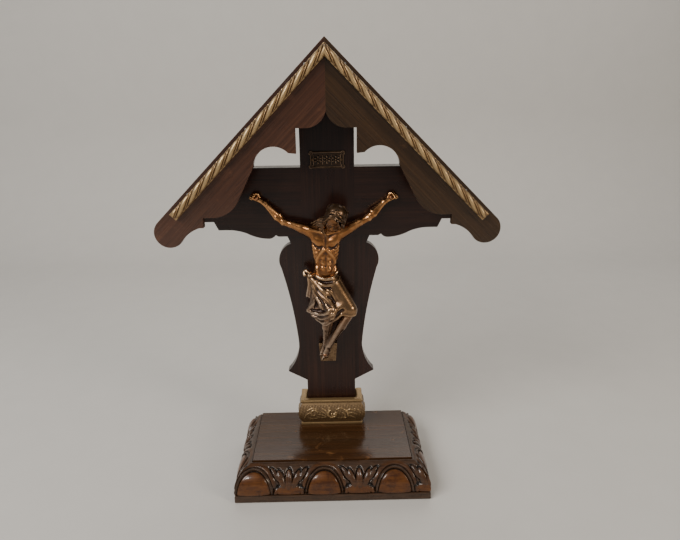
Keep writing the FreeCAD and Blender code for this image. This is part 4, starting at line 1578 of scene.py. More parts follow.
@dataclass
class CastBody(Clay):
    """The figure's torso, arms and legs."""

    low: Spot = (-72, -1, 101)
    high: Spot = (66, 33, 266)
    cell: float = 0.5

    def torso(self) -> None:
        """The trunk: ribcage, shoulders, chest, belly and hips."""
        self.ball((-2.8, 7.4, 215.5), (12.4, 7.6, 13.4), 1)
        self.bone((-16.4, 8.0, 229.6), (11.2, 8.0, 227.6), 4.9, 4.7, 5)
        self.ball((-3.2, 7.8, 202.0), (9.8, 6.4, 12.5), 4)
        self.ball((-3.8, 8.6, 189.0), (10.4, 6.4, 9.5), 4)
        self.bone((-8.2, 9.6, 220.6), (-17.6, 10.0, 229.6), 5.0, 3.6, 2.5)
        self.bone((3.4, 9.6, 219.8), (12.2, 10.0, 227.8), 5.0, 3.6, 2.5)
        self.ball((-8.6, 11.0, 220.2), (6.6, 4.2, 5.0), 1.6, lean=24)
        self.ball((3.8, 11.0, 219.4), (6.4, 4.2, 5.0), 1.6, lean=-24)
        self.ball((-2.8, 16.6, 206.5), (4.4, 2.4, 6.6), 2.2, cut=True)
        self.bone((-2.5, 11.6, 224.0), (-2.7, 12.6, 214.5), 2.2, 2.4, 2.0)
        self.bone((-2.2, 8.6, 228.0), (3.2, 15.5, 238.0), 5.0, 4.8, 3)
        self.bone((0.0, 8.0, 234.5), (-14.5, 7.4, 231.0), 3.4, 3.4, 3)
        self.bone((1.0, 8.0, 234.5), (10.0, 7.4, 229.0), 3.4, 3.4, 3)
        self.look()
        for flank in (Flank(-1, -2.7, 0.4), Flank(1, -2.5, -0.4)):
            under_chest = flank.at((2.2, 215.2), (5.4, 213.8), (8.6, 214.8), (10.6, 217.4))
            self.lay(under_chest, 1.3, 1.0, -0.80, 1.0, True)
            collar_bone = flank.at((1.0, 227.0), (6.0, 228.4), (13.6, 230.6))
            self.lay(collar_bone, 1.0, 1.1, 0.35, 1.2)
            rib_edge = flank.at((1.4, 213.0), (4.4, 209.0), (6.8, 204.4), (7.6, 200.2))
            self.lay(rib_edge, 1.1, 0.8, 0.74, 1.8)
            for row in range(4):
                drop = 3.3 * row
                rib = flank.at((10.8 - 0.4 * row, 215.8 - drop), (9.2 - 0.3 * row, 213.4 - drop),
                               (7.2 - 0.1 * row, 212.4 - drop))
                self.lay(rib, 1.3, 0.9, 0.55, 1.0)
            for up in (205.8, 200.8, 195.4):
                muscle = flank.at((1.6, up + 1.2), (2.8, up), (2.0, up - 1.4))
                self.lay(muscle, 1.8, 1.6, 0.75, 1.2)
            self.lay(flank.at((8.0, 196.4), (7.2, 192.0), (5.0, 188.0)), 1.0, 0.7, 0.5, 1.6)
        self.lay([(-2.5, 224.0), (-2.6, 219.0), (-2.8, 214.0)], 1.6, 1.4, -0.94, 0.8, True)
        self.ball((-3.2, 14.9, 197.6), (0.8, 1.3, 1.1), 0.5, cut=True)
        self.bone((-3.6, 12.4, 228.0), (-1.0, 16.0, 237.0), 1.1, 1.4, 1.2)
        self.bone((-1.2, 12.4, 227.8), (6.0, 17.0, 235.5), 1.1, 1.4, 1.2)

    def arm(self, out: int, joints: tuple[Spot, Spot, Spot, Spot]) -> None:
        """Model one raised arm.

        Args:
            out: -1 for the left arm and 1 for the right.
            joints: the shoulder, the elbow, the wrist and the middle of the palm.
        """
        shoulder, elbow, wrist, palm = (np.array(spot, float) for spot in joints)
        upper, fore = elbow - shoulder, wrist - elbow
        self.bone(shoulder - (out * 1.5, 0, 0.8), shoulder + 0.28 * upper, 5.0, 4.2, 2.5)
        self.bone(shoulder, elbow, 4.2, 2.9, 2.0)
        self.bone(shoulder + 0.28 * upper + (0, 1.0, 0.5), shoulder + 0.66 * upper + (0, 1.0, 0.4),
                  3.3, 2.9, 1.0)
        self.bone(shoulder + 0.18 * upper - (0, 0.6, 2.0), shoulder + 0.66 * upper - (0, 0.4, 1.0),
                  2.9, 2.4, 1.2)
        self.bone(shoulder - (out * 3.0, 1.2, 4.2), shoulder + 0.25 * upper - (0, 0.4, 2.6),
                  3.6, 2.0, 2.5)
        self.ball(elbow, (2.9, 2.8, 2.9), 0.8)
        self.bone(elbow, wrist, 3.0, 2.3, 1.2)
        side = np.cross(fore, (0, 1, 0)) / np.linalg.norm(fore)
        for way, thick in ((1.3, 2.5), (-1.3, 2.3)):
            swell = elbow + 0.30 * fore + 1.1 * way * side + (0, 0.9, 0)
            self.bone(elbow + 0.4 * way * side, swell, thick - 0.3, thick, 0.6)
            self.bone(swell, wrist + 0.4 * way * side + (0, 0.4, 0), thick, 1.4, 0.6)
        self.bone(elbow + 0.35 * fore + (0, 2.4, 0), wrist + (0, 1.6, 0), 0.6, 0.7, 0.5)
        self.hand(out, wrist, palm)

    def hand(self, out: int, wrist: Array, palm: Array) -> None:
        """Model an open hand whose fingers curl over the nail.

        Args:
            out: -1 for the left hand and 1 for the right.
            wrist, palm: where the wrist and the middle of the palm are.
        """
        along = (palm - wrist) / np.linalg.norm(palm - wrist)
        over = np.cross(along, (0, 1, 0)) * out
        front = np.array((0.0, 1.0, 0.0))
        self.bone(wrist, palm - 1.0 * along, 2.4, 2.4, 1.0)
        for share in (-1.0, -0.33, 0.33, 1.0):
            self.bone(palm - 2.6 * along + 1.2 * share * over, palm + 2.6 * along + 2.2 * share * over,
                      1.2, 1.05, 0.7)
        for share, length in ((-1.0, 2.7), (-0.36, 3.1), (0.30, 3.0), (0.92, 2.4)):
            root = palm + 2.6 * along + 2.3 * share * over
            middle = root + 0.75 * length * along + 0.55 * length * front + 0.25 * share * over
            bend = middle + 0.10 * length * along + 0.75 * length * front
            tip = bend - 0.75 * length * along + 0.15 * length * front
            self.cord([root, middle, bend, tip], 0.98, 0.74, 0.25)
        thumb = palm - 1.4 * along + 2.2 * over + 0.6 * front
        self.cord([thumb, thumb + 2.0 * along + 1.6 * over + 0.7 * front,
                   thumb + 4.0 * along + 1.0 * over + 1.8 * front], 1.15, 0.85, 0.4)
        self.ball(palm + 1.6 * front, (1.6, 1.2, 1.6), 0.6, cut=True)

    def leg(self, joints: tuple[Spot, Spot, Spot], swing: float) -> None:
        """Model one bent leg.

        Args:
            joints: the hip, the knee and the ankle.
            swing: how far the calf swells to the right.
        """
        hip, knee, ankle = (np.array(spot, float) for spot in joints)
        shin = ankle - knee
        self.bone(hip, knee, 5.4, 4.0, 2)
        self.ball(knee + (0, 1.0, 0.6), (3.3, 2.9, 3.6), 1.0)
        self.bone(knee - (0, 0.6, 1.0), ankle, 4.6, 2.7, 1.6)
        calf = np.array((swing, -1.4, 0.0))
        self.bone(knee + 0.10 * shin + calf, knee + 0.42 * shin + calf, 4.7, 4.0, 1.6)
        self.bone(knee + 0.42 * shin + calf, knee + 0.74 * shin + 0.5 * calf, 4.0, 2.5, 1.6)
        self.bone(knee + 0.12 * shin + (-0.2 * swing, 3.2, 0), knee + 0.8 * shin + (0, 1.7, 0),
                  1.4, 1.1, 0.7)
        self.ball(knee + 0.13 * shin + (0, 3.0, 0), (1.5, 1.2, 1.6), 0.8)

    def foot(self, joints: tuple[Spot, Spot, Spot], out: int) -> None:
        """Model one foot that points down, with its toes.

        Args:
            joints: the ankle, the ball of the foot and the tip of the second toe.
            out: which way the small toes are, -1 for left and 1 for right.
        """
        ankle, ball_of, tip = (np.array(spot, float) for spot in joints)
        self.bone(ankle - (0, 0.8, 0), ankle - (0, 2.6, -1.0), 2.4, 2.2, 1.2)
        self.ball(ankle + (1.7, -0.2, 0), (1.1, 1.4, 1.3), 0.7)
        self.ball(ankle + (-1.7, -0.2, 0.5), (1.1, 1.4, 1.3), 0.7)
        for share in (-1.0, 0.0, 1.0):
            self.bone(ankle + (0.6 * share, 0, 0), ball_of + (1.7 * share, -0.1 * abs(share), 0),
                      2.0, 1.5, 1.0)
        for index in range(5):
            spread = out * (index - 1.7) * 1.06
            toe = tip + (spread, -0.15 * index, 0.42 * index)
            root = ball_of + (spread * 0.9, 0.1, -0.4)
            thick = 1.05 if index == 0 else 0.74
            self.cord([root, (root + toe) / 2 + (0, 0.5, 0), toe], thick, thick * 0.92, 0.2)

    def build(self) -> Object:
        """Model the body and turn it into a mesh.

        Returns:
            The piece.
        """
        self.torso()
        self.arm(-1, ((-18.5, 8.6, 230.2), (-38.8, 8.2, 237.0), (-54.4, 4.6, 252.8), (-60.9, 3.4, 256.9)))
        self.arm(1, ((13.0, 8.6, 228.2), (35.2, 8.0, 239.4), (48.6, 4.6, 252.2), (54.4, 3.4, 255.9)))
        self.leg(((-9.0, 10.5, 182.0), (0.4, 24.0, 157.4), (-4.6, 11.6, 121.0)), -1.5)
        self.leg(((3.0, 11.0, 182.0), (16.4, 21.6, 157.4), (-1.2, 16.4, 122.6)), 1.4)
        self.foot(((-4.8, 10.6, 120.0), (-6.6, 10.2, 112.8), (-7.4, 9.8, 107.6)), -1)
        self.foot(((-1.4, 16.0, 121.8), (-4.0, 14.6, 113.6), (-5.6, 13.4, 107.4)), 1)
        self.trim(0.25 - self.grid()[1], 0.3)
        piece = self.skin("cast_body", 2.0)
        write_values(piece, warmth=smoothstep(0.135, 0.180, heights(piece)))
        return piece


@dataclass
class CastHead(Clay):
    """The bowed head with a calm, plain face, a short beard and long waved hair.

    Fields:
        centre: the middle of the head, level with the eyes.
        bow, lean, turn: how far it is bowed, leans to the right and faces to the left, in degrees.
        scale: its size against a head 20 mm high.
    """

    low: Spot = (-18, 4, 220)
    high: Spot = (21, 38, 260)
    cell: float = 0.3
    centre: Spot = (6.2, 25.4, 243.0)
    bow: float = 54.0
    lean: float = 9.0
    turn: float = 10.0
    scale: float = 1.10

    def frame(self) -> Array:
        """Work out how the head is held.

        Returns:
            Its own directions to the right, forward and up, as rows.
        """
        bow, lean, turn = (math.radians(angle) for angle in (self.bow, self.lean, self.turn))
        rolled = np.array([[math.cos(lean), 0, -math.sin(lean)], [0, 1, 0],
                           [math.sin(lean), 0, math.cos(lean)]])
        bowed = np.array([[1, 0, 0], [0, math.cos(bow), -math.sin(bow)],
                          [0, math.sin(bow), math.cos(bow)]])
        turned = np.array([[math.cos(turn), math.sin(turn), 0], [-math.sin(turn), math.cos(turn), 0],
                           [0, 0, 1]])
        return turned @ bowed @ rolled

    def at(self, right: float, forward: float, up: float) -> Spot:
        """A place on the head, in head sizes, as a place in the figure."""
        moved = np.array([right, forward, up]) * self.scale @ self.frame() + self.centre
        return tuple(float(part) for part in moved)

    def lump(self, spot: Spot, radii: Spot, soft: float, cut: bool = False) -> None:
        """Add or cut a lump that turns with the head.

        Args:
            spot, radii: its middle and half sizes, on the head.
            soft, cut: as for a ball.
        """
        middle, sizes = np.array(self.at(*spot)), np.array(radii) * self.scale
        reach = max(sizes) + 2 * soft + 1
        part, (x, y, z) = self.window(middle - reach, middle + reach)
        own = [x - middle[0], y - middle[1], z - middle[2]]
        turned = [sum(row[axis] * own[axis] for axis in range(3)) for row in self.frame()]
        near = np.sqrt(sum((turned[axis] / sizes[axis]) ** 2 for axis in range(3)))
        slope = np.sqrt(sum((turned[axis] / sizes[axis] ** 2) ** 2 for axis in range(3)))
        self.blend(part, near * (near - 1) / np.maximum(slope, 1e-6), soft, cut)

    def line(self, spots: list[Spot], first: float, last: float, soft: float,
             cut: bool = False) -> None:
        """A line of limbs on the head."""
        self.cord([self.at(*spot) for spot in spots], first * self.scale, last * self.scale, soft, cut)

    def face(self) -> None:
        """The skull and a plain face: eyes half way up, nose and mouth at even steps below."""
        self.lump((0, -1.2, 2.0), (7.1, 8.4, 7.8), 1)
        self.lump((0, 2.0, -3.4), (5.5, 5.4, 7.2), 2.0)
        self.lump((0, 4.0, -8.8), (2.8, 2.6, 2.0), 1.2)
        self.line([(-3.9, 5.4, 1.6), (0, 6.6, 1.5), (3.9, 5.4, 1.6)], 1.0, 1.0, 1.0)
        for side in (-1, 1):
            self.lump((side * 2.5, 7.2, 0.0), (1.8, 1.2, 1.15), 0.8, cut=True)
            self.lump((side * 2.5, 5.7, -0.1), (1.45, 1.15, 1.0), 0.25)
            self.line([(side * 1.3, 6.5, -0.5), (side * 2.5, 6.95, -0.75), (side * 3.8, 6.0, -0.45)],
                      0.16, 0.16, 0.15, cut=True)
            self.lump((side * 3.4, 4.6, -2.4), (1.9, 1.6, 2.0), 1.4)
            self.lump((side * 0.95, 7.5, -3.7), (0.75, 0.7, 0.6), 0.4)
            self.line([(0, 8.0, -5.0), (side * 1.4, 7.5, -5.3), (side * 2.9, 6.2, -6.8)], 0.55, 0.35, 0.3)
            self.line([(side * 5.0, 1.8, -3.0), (side * 4.4, 3.6, -7.0), (side * 2.4, 5.0, -9.6)],
                      1.3, 1.7, 0.8)
            for lock in range(3):
                root = side * (0.6 + 1.2 * lock)
                beard = [(root, 6.2 - 0.5 * lock, -7.9), (root * 1.15, 6.2 - 0.6 * lock, -10.0),
                         (root * 0.9, 5.4 - 0.5 * lock, -11.8), (root * 0.45, 4.9, -13.2 + 0.5 * lock)]
                self.line(beard, 1.15, 0.5, 0.25)
        self.line([(0, 6.6, 1.4), (0, 7.6, -1.4), (0, 8.5, -3.4)], 0.62, 1.0, 0.6)
        self.line([(-1.4, 6.7, -5.9), (0, 7.2, -5.8), (1.4, 6.7, -5.9)], 0.42, 0.42, 0.3)
        self.line([(-1.1, 6.7, -6.8), (0, 7.1, -6.9), (1.1, 6.7, -6.8)], 0.48, 0.48, 0.3)
        self.line([(-1.4, 7.2, -6.3), (0, 7.7, -6.3), (1.4, 7.2, -6.3)], 0.14, 0.14, 0.15, cut=True)

    def hair(self) -> None:
        """Waved locks from the parting, down the right side and across to the left shoulder."""
        self.lump((0, -2.2, 3.0), (7.7, 7.75, 7.45), 0.5)
        for lock in range(10):
            share = lock / 9
            depth = 6.4 - 13.6 * share
            crown = 10.2 - 4.0 * max(0.0, abs(share - 0.45) - 0.1)
            for side in (-1, 1):
                wave = 1.1 * math.sin(1.9 * lock + side)
                fall = [(0.2 * side, depth * 0.72, crown),
                        (side * 3.8, depth * 0.93 + wave, 9.2 - 2.2 * share),
                        (side * (6.8 + 0.1 * wave), depth - 0.7 * wave, 5.0 - 2.0 * share),
                        (side * 7.5, depth * 0.9 + 0.6 * wave - 0.6, 0.8 - 1.4 * share),
                        (side * 7.2, depth * 0.8 - 1.4, -3.6 - 1.2 * share)]
                self.line(smooth_line(fall, 3), 0.85, 1.15, 0.12)
        for row in range(4):
            to_shoulder = [self.at(-6.4, 5.2 - 2.6 * row, 4.0 - 1.5 * row),
                           (-3.2 - 0.3 * row, 22.0 - row, 243.0 - 2.0 * row),
                           (-8.8, 18.0 - 0.8 * row, 240.2 - 1.9 * row),
                           (-14.4 + 1.5 * row, 14.6 - 0.3 * row, 236.8 - 1.5 * row)]
            self.tress(to_shoulder, 1.5, 0.7, 9.0 - row)
        for row in range(3):
            to_chest = [self.at(-6.2, 4.8 - 1.8 * row, -0.8), (-3.6 - 0.9 * row, 20.4 - 1.2 * row, 236.4),
                        (-4.2 - 1.3 * row, 17.8 - 1.0 * row, 230.8 + 0.6 * row),
                        (-1.4 - 2.7 * row, 16.4 - 0.8 * row, 224.4 + 2.0 * row)]
            self.tress(to_chest, 1.4, 0.5, 8.0 + row)
            down_right = [self.at(6.8, 1.8 - 2.4 * row, 1.0), self.at(7.4, 0.6 - 2.4 * row, -3.6),
                          self.at(6.4, -1.2 - 2.2 * row, -7.6), self.at(5.6, -3.2 - 1.6 * row, -12.0)]
            self.tress(down_right, 1.4, 0.6, 7.0 + row)

    def tress(self, spots: list[Spot], first: float, last: float, twist: float) -> None:
        """Wind three strands round a line.

        Args:
            spots: places in the figure that the line runs through.
            first, last: its thickness at each end.
            twist: how far the strands wind, in radians.
        """
        drawn = smooth_line(spots, 5)
        for strand in range(3):
            wound = []
            for index, spot in enumerate(drawn):
                share = index / (len(drawn) - 1)
                angle = strand * math.tau / 3 + twist * share
                reach = 0.62 * (first + (last - first) * share)
                wound.append((spot[0], spot[1] + reach * math.cos(angle), spot[2] + reach * math.sin(angle)))
            self.cord(wound, 0.62 * first, 0.62 * last, 0.15)

    def build(self) -> Object:
        """Model the head and turn it into a mesh.

        Returns:
            The piece.
        """
        self.face()
        skin_only = self.distance.copy()
        self.hair()
        self.bone(self.at(0, -1.5, -4.0), (1.6, 13.5, 234.5), 4.4, 4.4, 1.0)
        hair = np.clip((skin_only - 0.25) / 0.5, 0, 1)
        piece = self.skin("cast_head", 1.0)
        x, y, z = (heights(piece, axis) / MM for axis in range(3))
        spots = np.column_stack([x, self.wall - y, z])
        cells = np.clip(np.rint((spots - self.origin) / self.cell).astype(int), 0, self.count - 1)
        share = hair[tuple(cells.T)]
        # The whole head is dulled by 0.4 as painted shade, for the bowed head hangs in shadow; the hair's
        # further 0.2 is antique tarnish.
        write_values(piece, patina=0.4 + 0.2 * share, warmth=0.8 - 0.6 * share)
        return piece


@dataclass
class CastCloth(Clay):
    """The loincloth: wrapped round the hips and thighs, knotted at the left, with drawn folds."""

    low: Spot = (-26, -1, 141)
    high: Spot = (28, 35, 200)
    cell: float = 0.42

    def wraps(self) -> None:
        """The cloth's large masses."""
        self.ball((-4.2, 8.8, 185.0), (12.0, 9.8, 9.4), 1)
        self.ball((-2.6, 11.6, 178.0), (8.6, 10.0, 9.6), 2)
        self.bone((2.0, 11.4, 182.0), (17.2, 21.6, 161.0), 9.4, 6.6, 3)
        self.bone((-8.4, 11.2, 181.0), (0.8, 24.2, 159.4), 8.8, 6.2, 3)
        self.ball((18.6, 22.0, 158.6), (5.6, 5.6, 5.4), 2)
        self.ball((1.2, 24.4, 157.6), (5.2, 5.6, 6.4), 2)
        self.ball((9.6, 20.6, 161.6), (8.0, 7.0, 7.4), 3)
        self.bone((1.0, 22.4, 157.0), (-2.6, 19.6, 147.0), 6.2, 4.6, 2)
        self.bone((8.4, 20.4, 158.0), (3.0, 20.4, 151.0), 5.4, 4.4, 2)
        self.bone((-10.6, 10.6, 175.0), (-11.8, 12.6, 160.0), 5.8, 5.8, 3)
        self.bone((-12.8, 11.6, 166.0), (-18.6, 11.8, 156.6), 3.8, 2.2, 2)
        self.bone((-12.6, 13.0, 154.4), (-3.2, 19.6, 152.6), 4.8, 5.4, 3)
        self.bone((-9.4, 14.6, 151.0), (-4.0, 19.4, 149.6), 3.6, 3.8, 2)

    def knot(self) -> None:
        """The knot and its hanging tail."""
        ring = [(-20.2 + 1.7 * math.cos(angle), 12.8 + 0.9 * math.sin(angle * 2),
                 191.6 + 2.1 * math.sin(angle)) for angle in np.linspace(0, math.tau, 9)]
        self.cord(ring, 1.4, 1.4, 0.3)
        self.ball((-20.2, 11.6, 191.4), (1.6, 1.0, 1.9), 0.3)
        self.ball((-17.0, 13.2, 190.6), (2.3, 2.4, 2.8), 0.4, lean=20)
        self.cord([(-17.8, 15.0, 193.0), (-16.6, 15.6, 190.6), (-16.4, 14.8, 188.2)], 0.7, 0.7, 0.2)
        self.bone((-17.6, 11.0, 189.4), (-14.0, 12.0, 189.0), 2.0, 2.4, 1.0)
        for tail, thick in (
                ([(-18.6, 12.6, 188.0), (-18.0, 12.6, 181.0), (-19.9, 10.6, 169.4)], 1.25),
                ([(-17.4, 12.8, 188.0), (-16.4, 13.4, 180.4), (-17.6, 11.4, 168.8)], 1.45),
                ([(-16.0, 12.0, 187.0), (-14.8, 12.6, 180.4), (-15.2, 11.6, 170.6)], 1.25)):
            self.cord(smooth_line(tail, 4), 1.0, thick, 0.4)
        self.bone((-17.4, 9.0, 186.0), (-16.4, 8.6, 173.0), 2.0, 2.2, 1.0)

    def folds(self) -> None:
        """Soft rolls drawn from the knot over the thighs, with the hollows between them."""
        self.look()
        hollows = [
            ([(-14.6, 189.0), (-9.6, 186.0), (-3.6, 184.9), (3.0, 185.6)], 0.9),
            ([(-13.6, 185.4), (-9.4, 182.0), (-4.8, 180.2), (1.0, 180.0)], 0.9),
            ([(-13.4, 181.6), (-9.4, 176.6), (-5.2, 172.0), (-0.6, 167.6), (2.6, 163.6)], 1.1),
            ([(-1.0, 173.6), (2.2, 171.2), (4.2, 167.6)], 0.9),
            ([(-11.6, 176.0), (-8.8, 171.0), (-5.4, 166.0), (-5.0, 162.0)], 1.3),
            ([(-13.4, 171.4), (-11.8, 166.0), (-12.6, 160.6)], 1.2),
            ([(-16.4, 157.8), (-11.4, 157.6), (-6.6, 158.6), (-3.2, 162.2)], 0.9),
            ([(-14.8, 153.6), (-9.0, 152.6), (-4.0, 154.2), (0.4, 157.8)], 0.9),
            ([(-12.4, 150.6), (-7.4, 149.4), (-2.8, 150.6), (0.4, 153.0)], 0.75),
            ([(5.0, 154.0), (7.6, 158.4), (11.6, 161.8)], 1.1),
        ]
        for line, width in hollows:
            self.lay(line, width, width * 0.7, 0.1, 1.6, cut=True)
        self.look()
        rolls = [
            ([(-17.0, 192.2), (-12.8, 190.2), (-7.2, 188.0), (-2.2, 187.2),
              (3.0, 188.6), (7.2, 192.4)], 1.5, 1.1, 0.35),
            ([(-15.4, 188.6), (-11.2, 185.6), (-6.6, 183.0), (-1.6, 182.0),
              (4.4, 183.4), (9.4, 187.6)], 1.4, 0.7, 0.6),
            ([(-14.6, 186.0), (-11.2, 182.4), (-7.4, 179.4), (-3.0, 175.6), (1.0, 172.4)], 2.4, 1.5, 0.62),
            ([(-14.0, 181.0), (-11.0, 176.4), (-7.0, 173.0), (-2.4, 169.4),
              (1.4, 165.8), (4.4, 161.8)], 1.8, 2.0, 0.6),
            ([(-2.0, 178.6), (1.2, 176.6), (3.6, 173.4), (5.6, 169.0)], 1.2, 1.0, 0.55),
            ([(-13.6, 176.8), (-11.0, 171.0), (-8.2, 166.4), (-7.2, 162.6), (-8.8, 160.0)], 1.6, 1.1, 0.55),
            ([(-13.8, 172.6), (-13.2, 167.0), (-15.6, 161.6), (-19.4, 156.4)], 1.9, 1.5, 0.55),
            ([(-19.6, 155.6), (-13.9, 155.4), (-7.6, 155.8), (-2.4, 159.4), (0.6, 163.6)], 1.1, 1.4, 0.4),
            ([(-16.0, 152.4), (-10.8, 151.2), (-6.2, 151.8), (-1.0, 155.6), (2.8, 159.4)], 1.0, 1.7, 0.45),
            ([(-12.8, 149.2), (-8.0, 147.8), (-4.4, 148.4), (-0.4, 151.6), (2.4, 155.0)], 0.9, 1.3, 0.35),
            ([(-6.6, 146.8), (-3.0, 146.4), (1.6, 150.0), (6.6, 153.2), (10.4, 156.8)], 0.8, 1.2, 0.35),
            ([(10.4, 157.0), (14.2, 156.4), (18.4, 155.8), (22.6, 156.4)], 0.9, 0.8, 0.35),
        ]
        for line, first, last, sink in rolls:
            self.lay(line, first, last, sink, 1.0)

    def build(self) -> Object:
        """Model the cloth and turn it into a mesh.

        Returns:
            The piece.
        """
        self.wraps()
        across, forward, up = self.grid()
        waist = np.interp(across, (-18, -13, -7, -1, 4, 8), (194.6, 192.0, 189.0, 187.6, 189.4, 193.6))
        hem = np.interp(across, (-21, -19, -14, -9, -4, 1, 6, 12, 18, 24),
                        (154.2, 153.0, 149.0, 146.2, 145.2, 148.4, 151.8, 155.0, 154.0, 153.6))
        self.trim(up - waist, 0.8)
        self.trim(hem - up, 0.8)
        self.folds()
        self.knot()
        self.trim(0.3 - forward, 0.3)
        piece = self.skin("cast_loincloth", 1.6)
        # Painted reflection: the cloth goes from cold pale bronze at the left to warm gold at the right, as
        # warm light falls from the right.
        painted_warm_light = smoothstep(-0.017, 0.003, heights(piece, 0) + 0.8 * (heights(piece) - 0.165))
        write_values(piece, warmth=0.85 * painted_warm_light)
        return piece


@dataclass(kw_only=True)
class TitlePlaque(Clay):
    """The small plate above the arm, with curled corners and a plain leaf ornament.

    Fields:
        middle: how high its middle is.
        half_width, half_height: its half sizes.
        rosette_gap: from one rosette's middle to the next.
    """

    low: Spot = field(init=False)
    high: Spot = field(init=False)
    cell: float = 0.2
    middle: float
    half_width: float
    half_height: float = 7.3
    rosette_gap: float = 7.6

    def __post_init__(self) -> None:
        """Lay out the grid round the plate, with room for the curled corners."""
        wide, tall = self.half_width + 1.5, self.half_height + 1.5
        self.low = (-wide, -0.6, self.middle - tall)
        self.high = (wide, 4.2, self.middle + tall)
        super().__post_init__()

    def plate(self) -> None:
        """The rounded plate with its raised rim and its curled corners."""
        w, h, z = self.half_width, self.half_height, self.middle
        x, forward, up = self.grid()
        side = np.maximum(np.abs(x) - w + 2.0, 0.0)
        tall = np.maximum(np.abs(up - z) - h + 1.4, 0.0)
        front = forward - 1.3 + 0.035 * np.sin(x * 0.9)
        outline = np.maximum(np.hypot(side, tall) - 1.3, front)
        self.distance = np.maximum(outline, 0.15 - forward).astype(np.float32)
        corners = ((-1, -1), (1, -1), (1, 1), (-1, 1), (-1, -1))
        rim = [(across * (w - 1.2), 1.2, z + height * (h - 1.3)) for across, height in corners]
        self.cord(rim, 0.62, 0.62, 0.3)
        for across, height in corners[:4]:
            curl = [(across * (w - 1.5 + 1.5 * math.cos(angle)), 1.4,
                     z + height * (h - 1.7 + 1.5 * math.sin(angle))) for angle in np.linspace(-0.6, 4.2, 9)]
            self.cord(curl, 0.62, 0.35, 0.2)

    def rosettes(self) -> None:
        """Three rosettes of six petals, with a stem of two leaves between and beside them."""
        z = self.middle
        for index in (-1, 0, 1):
            x = index * self.rosette_gap
            for petal in range(6):
                angle = math.pi / 6 + petal * math.pi / 3
                self.bone((x + 0.9 * math.cos(angle), 1.35, z + 0.9 * math.sin(angle)),
                          (x + 2.7 * math.cos(angle), 1.35, z + 2.7 * math.sin(angle)), 0.45, 0.95, 0.12)
            self.ball((x, 1.7, z), (0.85, 0.8, 0.85), 0.15)
        for index in (-1.5, -0.5, 0.5, 1.5):
            x = index * self.rosette_gap
            for way in (-1, 1):
                self.bone((x, 1.35, z), (x, 1.3, z + way * 4.2), 0.75, 0.35, 0.15)

    def build(self) -> Object:
        """Model the plate and turn it into a mesh.

        Returns:
            The piece.
        """
        self.plate()
        self.rosettes()
        return self.skin("plaque_with_leaves", 0.7)


# -------------------- stage, light and camera
@dataclass
class Studio:
    """A pale sweep, soft lights and the camera."""

    half_width: float = 2.6
    front: float = -1.4
    back: float = 0.95
    height: float = 2.4
    bend: float = 0.30
    lens: float = 28.68
    sensor: float = 36.0
    eye: Spot = (0.003781, -0.436714, 0.339707)
    turn: Spot = (72.162, 0.726, -0.976)

    def build_sweep(self) -> Object:
        """Make the floor, bent up into a backdrop.

        Returns:
            It.
        """
        clear_selection()
        depth = self.back - self.front
        bpy.ops.mesh.primitive_plane_add(size=1, location=(0, (self.back + self.front) / 2, 0))
        sweep = bpy.context.object
        sweep.name = sweep.data.name = "sweep"
        sweep.scale = (2 * self.half_width, depth, 1)
        bpy.ops.object.transform_apply(location=True, rotation=False, scale=True)
        bpy.ops.object.mode_set(mode="EDIT")
        bpy.ops.mesh.select_mode(type="EDGE")
        bpy.ops.mesh.select_all(action="DESELECT")
        bpy.ops.object.mode_set(mode="OBJECT")
        for edge in sweep.data.edges:
            edge.select = all(sweep.data.vertices[i].co.y > self.back - 0.01 for i in edge.vertices)
        bpy.ops.object.mode_set(mode="EDIT")
        bpy.ops.mesh.extrude_region_move(TRANSFORM_OT_translate={"value": (0, 0, self.height)})
        bpy.ops.object.mode_set(mode="OBJECT")
        corner = sweep.modifiers.new("bend", "BEVEL")
        corner.width, corner.segments, corner.limit_method = self.bend, 16, "ANGLE"
        bpy.ops.object.modifier_apply(modifier="bend")
        bpy.ops.object.shade_smooth_by_angle(angle=math.radians(40))
        dress(sweep, FloorFinish().build())
        return sweep

    def build_lamp(self, name: str, place: Spot, size: Flat,
                   power: float, colour: Spot) -> None:
        """Hang one soft lamp that faces the figure.

        Args:
            name: its name.
            place, size: where it is and how large.
            power: in watts.
            colour: its light's.
        """
        lamp = bpy.data.lights.new(name, "AREA")
        lamp.shape, lamp.size, lamp.size_y = "RECTANGLE", *size
        lamp.energy, lamp.color = power, colour
        holder = bpy.data.objects.new(name, lamp)
        bpy.context.scene.collection.objects.link(holder)
        holder.location = place
        holder.rotation_euler = (Vector((0, 0, 0.2)) - Vector(place)).to_track_quat("-Z", "Y").to_euler()

    def build_lights(self) -> None:
        """Make the sky and the lamps."""
        world = bpy.data.worlds.new("pale_room")
        world.use_nodes = True
        sky = world.node_tree.nodes["Background"]
        sky.inputs["Color"].default_value = (0.92, 0.90, 0.86, 1)
        sky.inputs["Strength"].default_value = 0.30
        bpy.context.scene.world = world
        self.build_lamp("window", (-1.1, -0.9, 1.25), (0.9, 0.7), 22, (1.0, 0.97, 0.93))
        self.build_lamp("spark", (-0.45, -0.95, 0.80), (0.16, 0.16), 3.2, (1.0, 0.95, 0.88))
        self.build_lamp("room", (1.2, -0.8, 0.7), (0.4, 0.4), 8, (1.0, 0.86, 0.68))
        self.build_lamp("wall_glow", (0.1, 0.75, 0.9), (1.4, 0.8), 4, (1.0, 0.97, 0.93))

    def build_camera(self) -> None:
        """Set the camera up."""
        data = bpy.data.cameras.new("eye")
        data.lens, data.sensor_width = self.lens, self.sensor
        data.clip_start, data.clip_end = 0.01, 20
        eye = bpy.data.objects.new("eye", data)
        bpy.context.scene.collection.objects.link(eye)
        eye.location = self.eye
        eye.rotation_euler = [math.radians(angle) for angle in self.turn]
        bpy.context.scene.camera = eye

    def build(self) -> None:
        """Make the whole studio."""
        self.build_sweep()
        self.build_lights()
        self.build_camera()
        LOG.info("studio: ready")


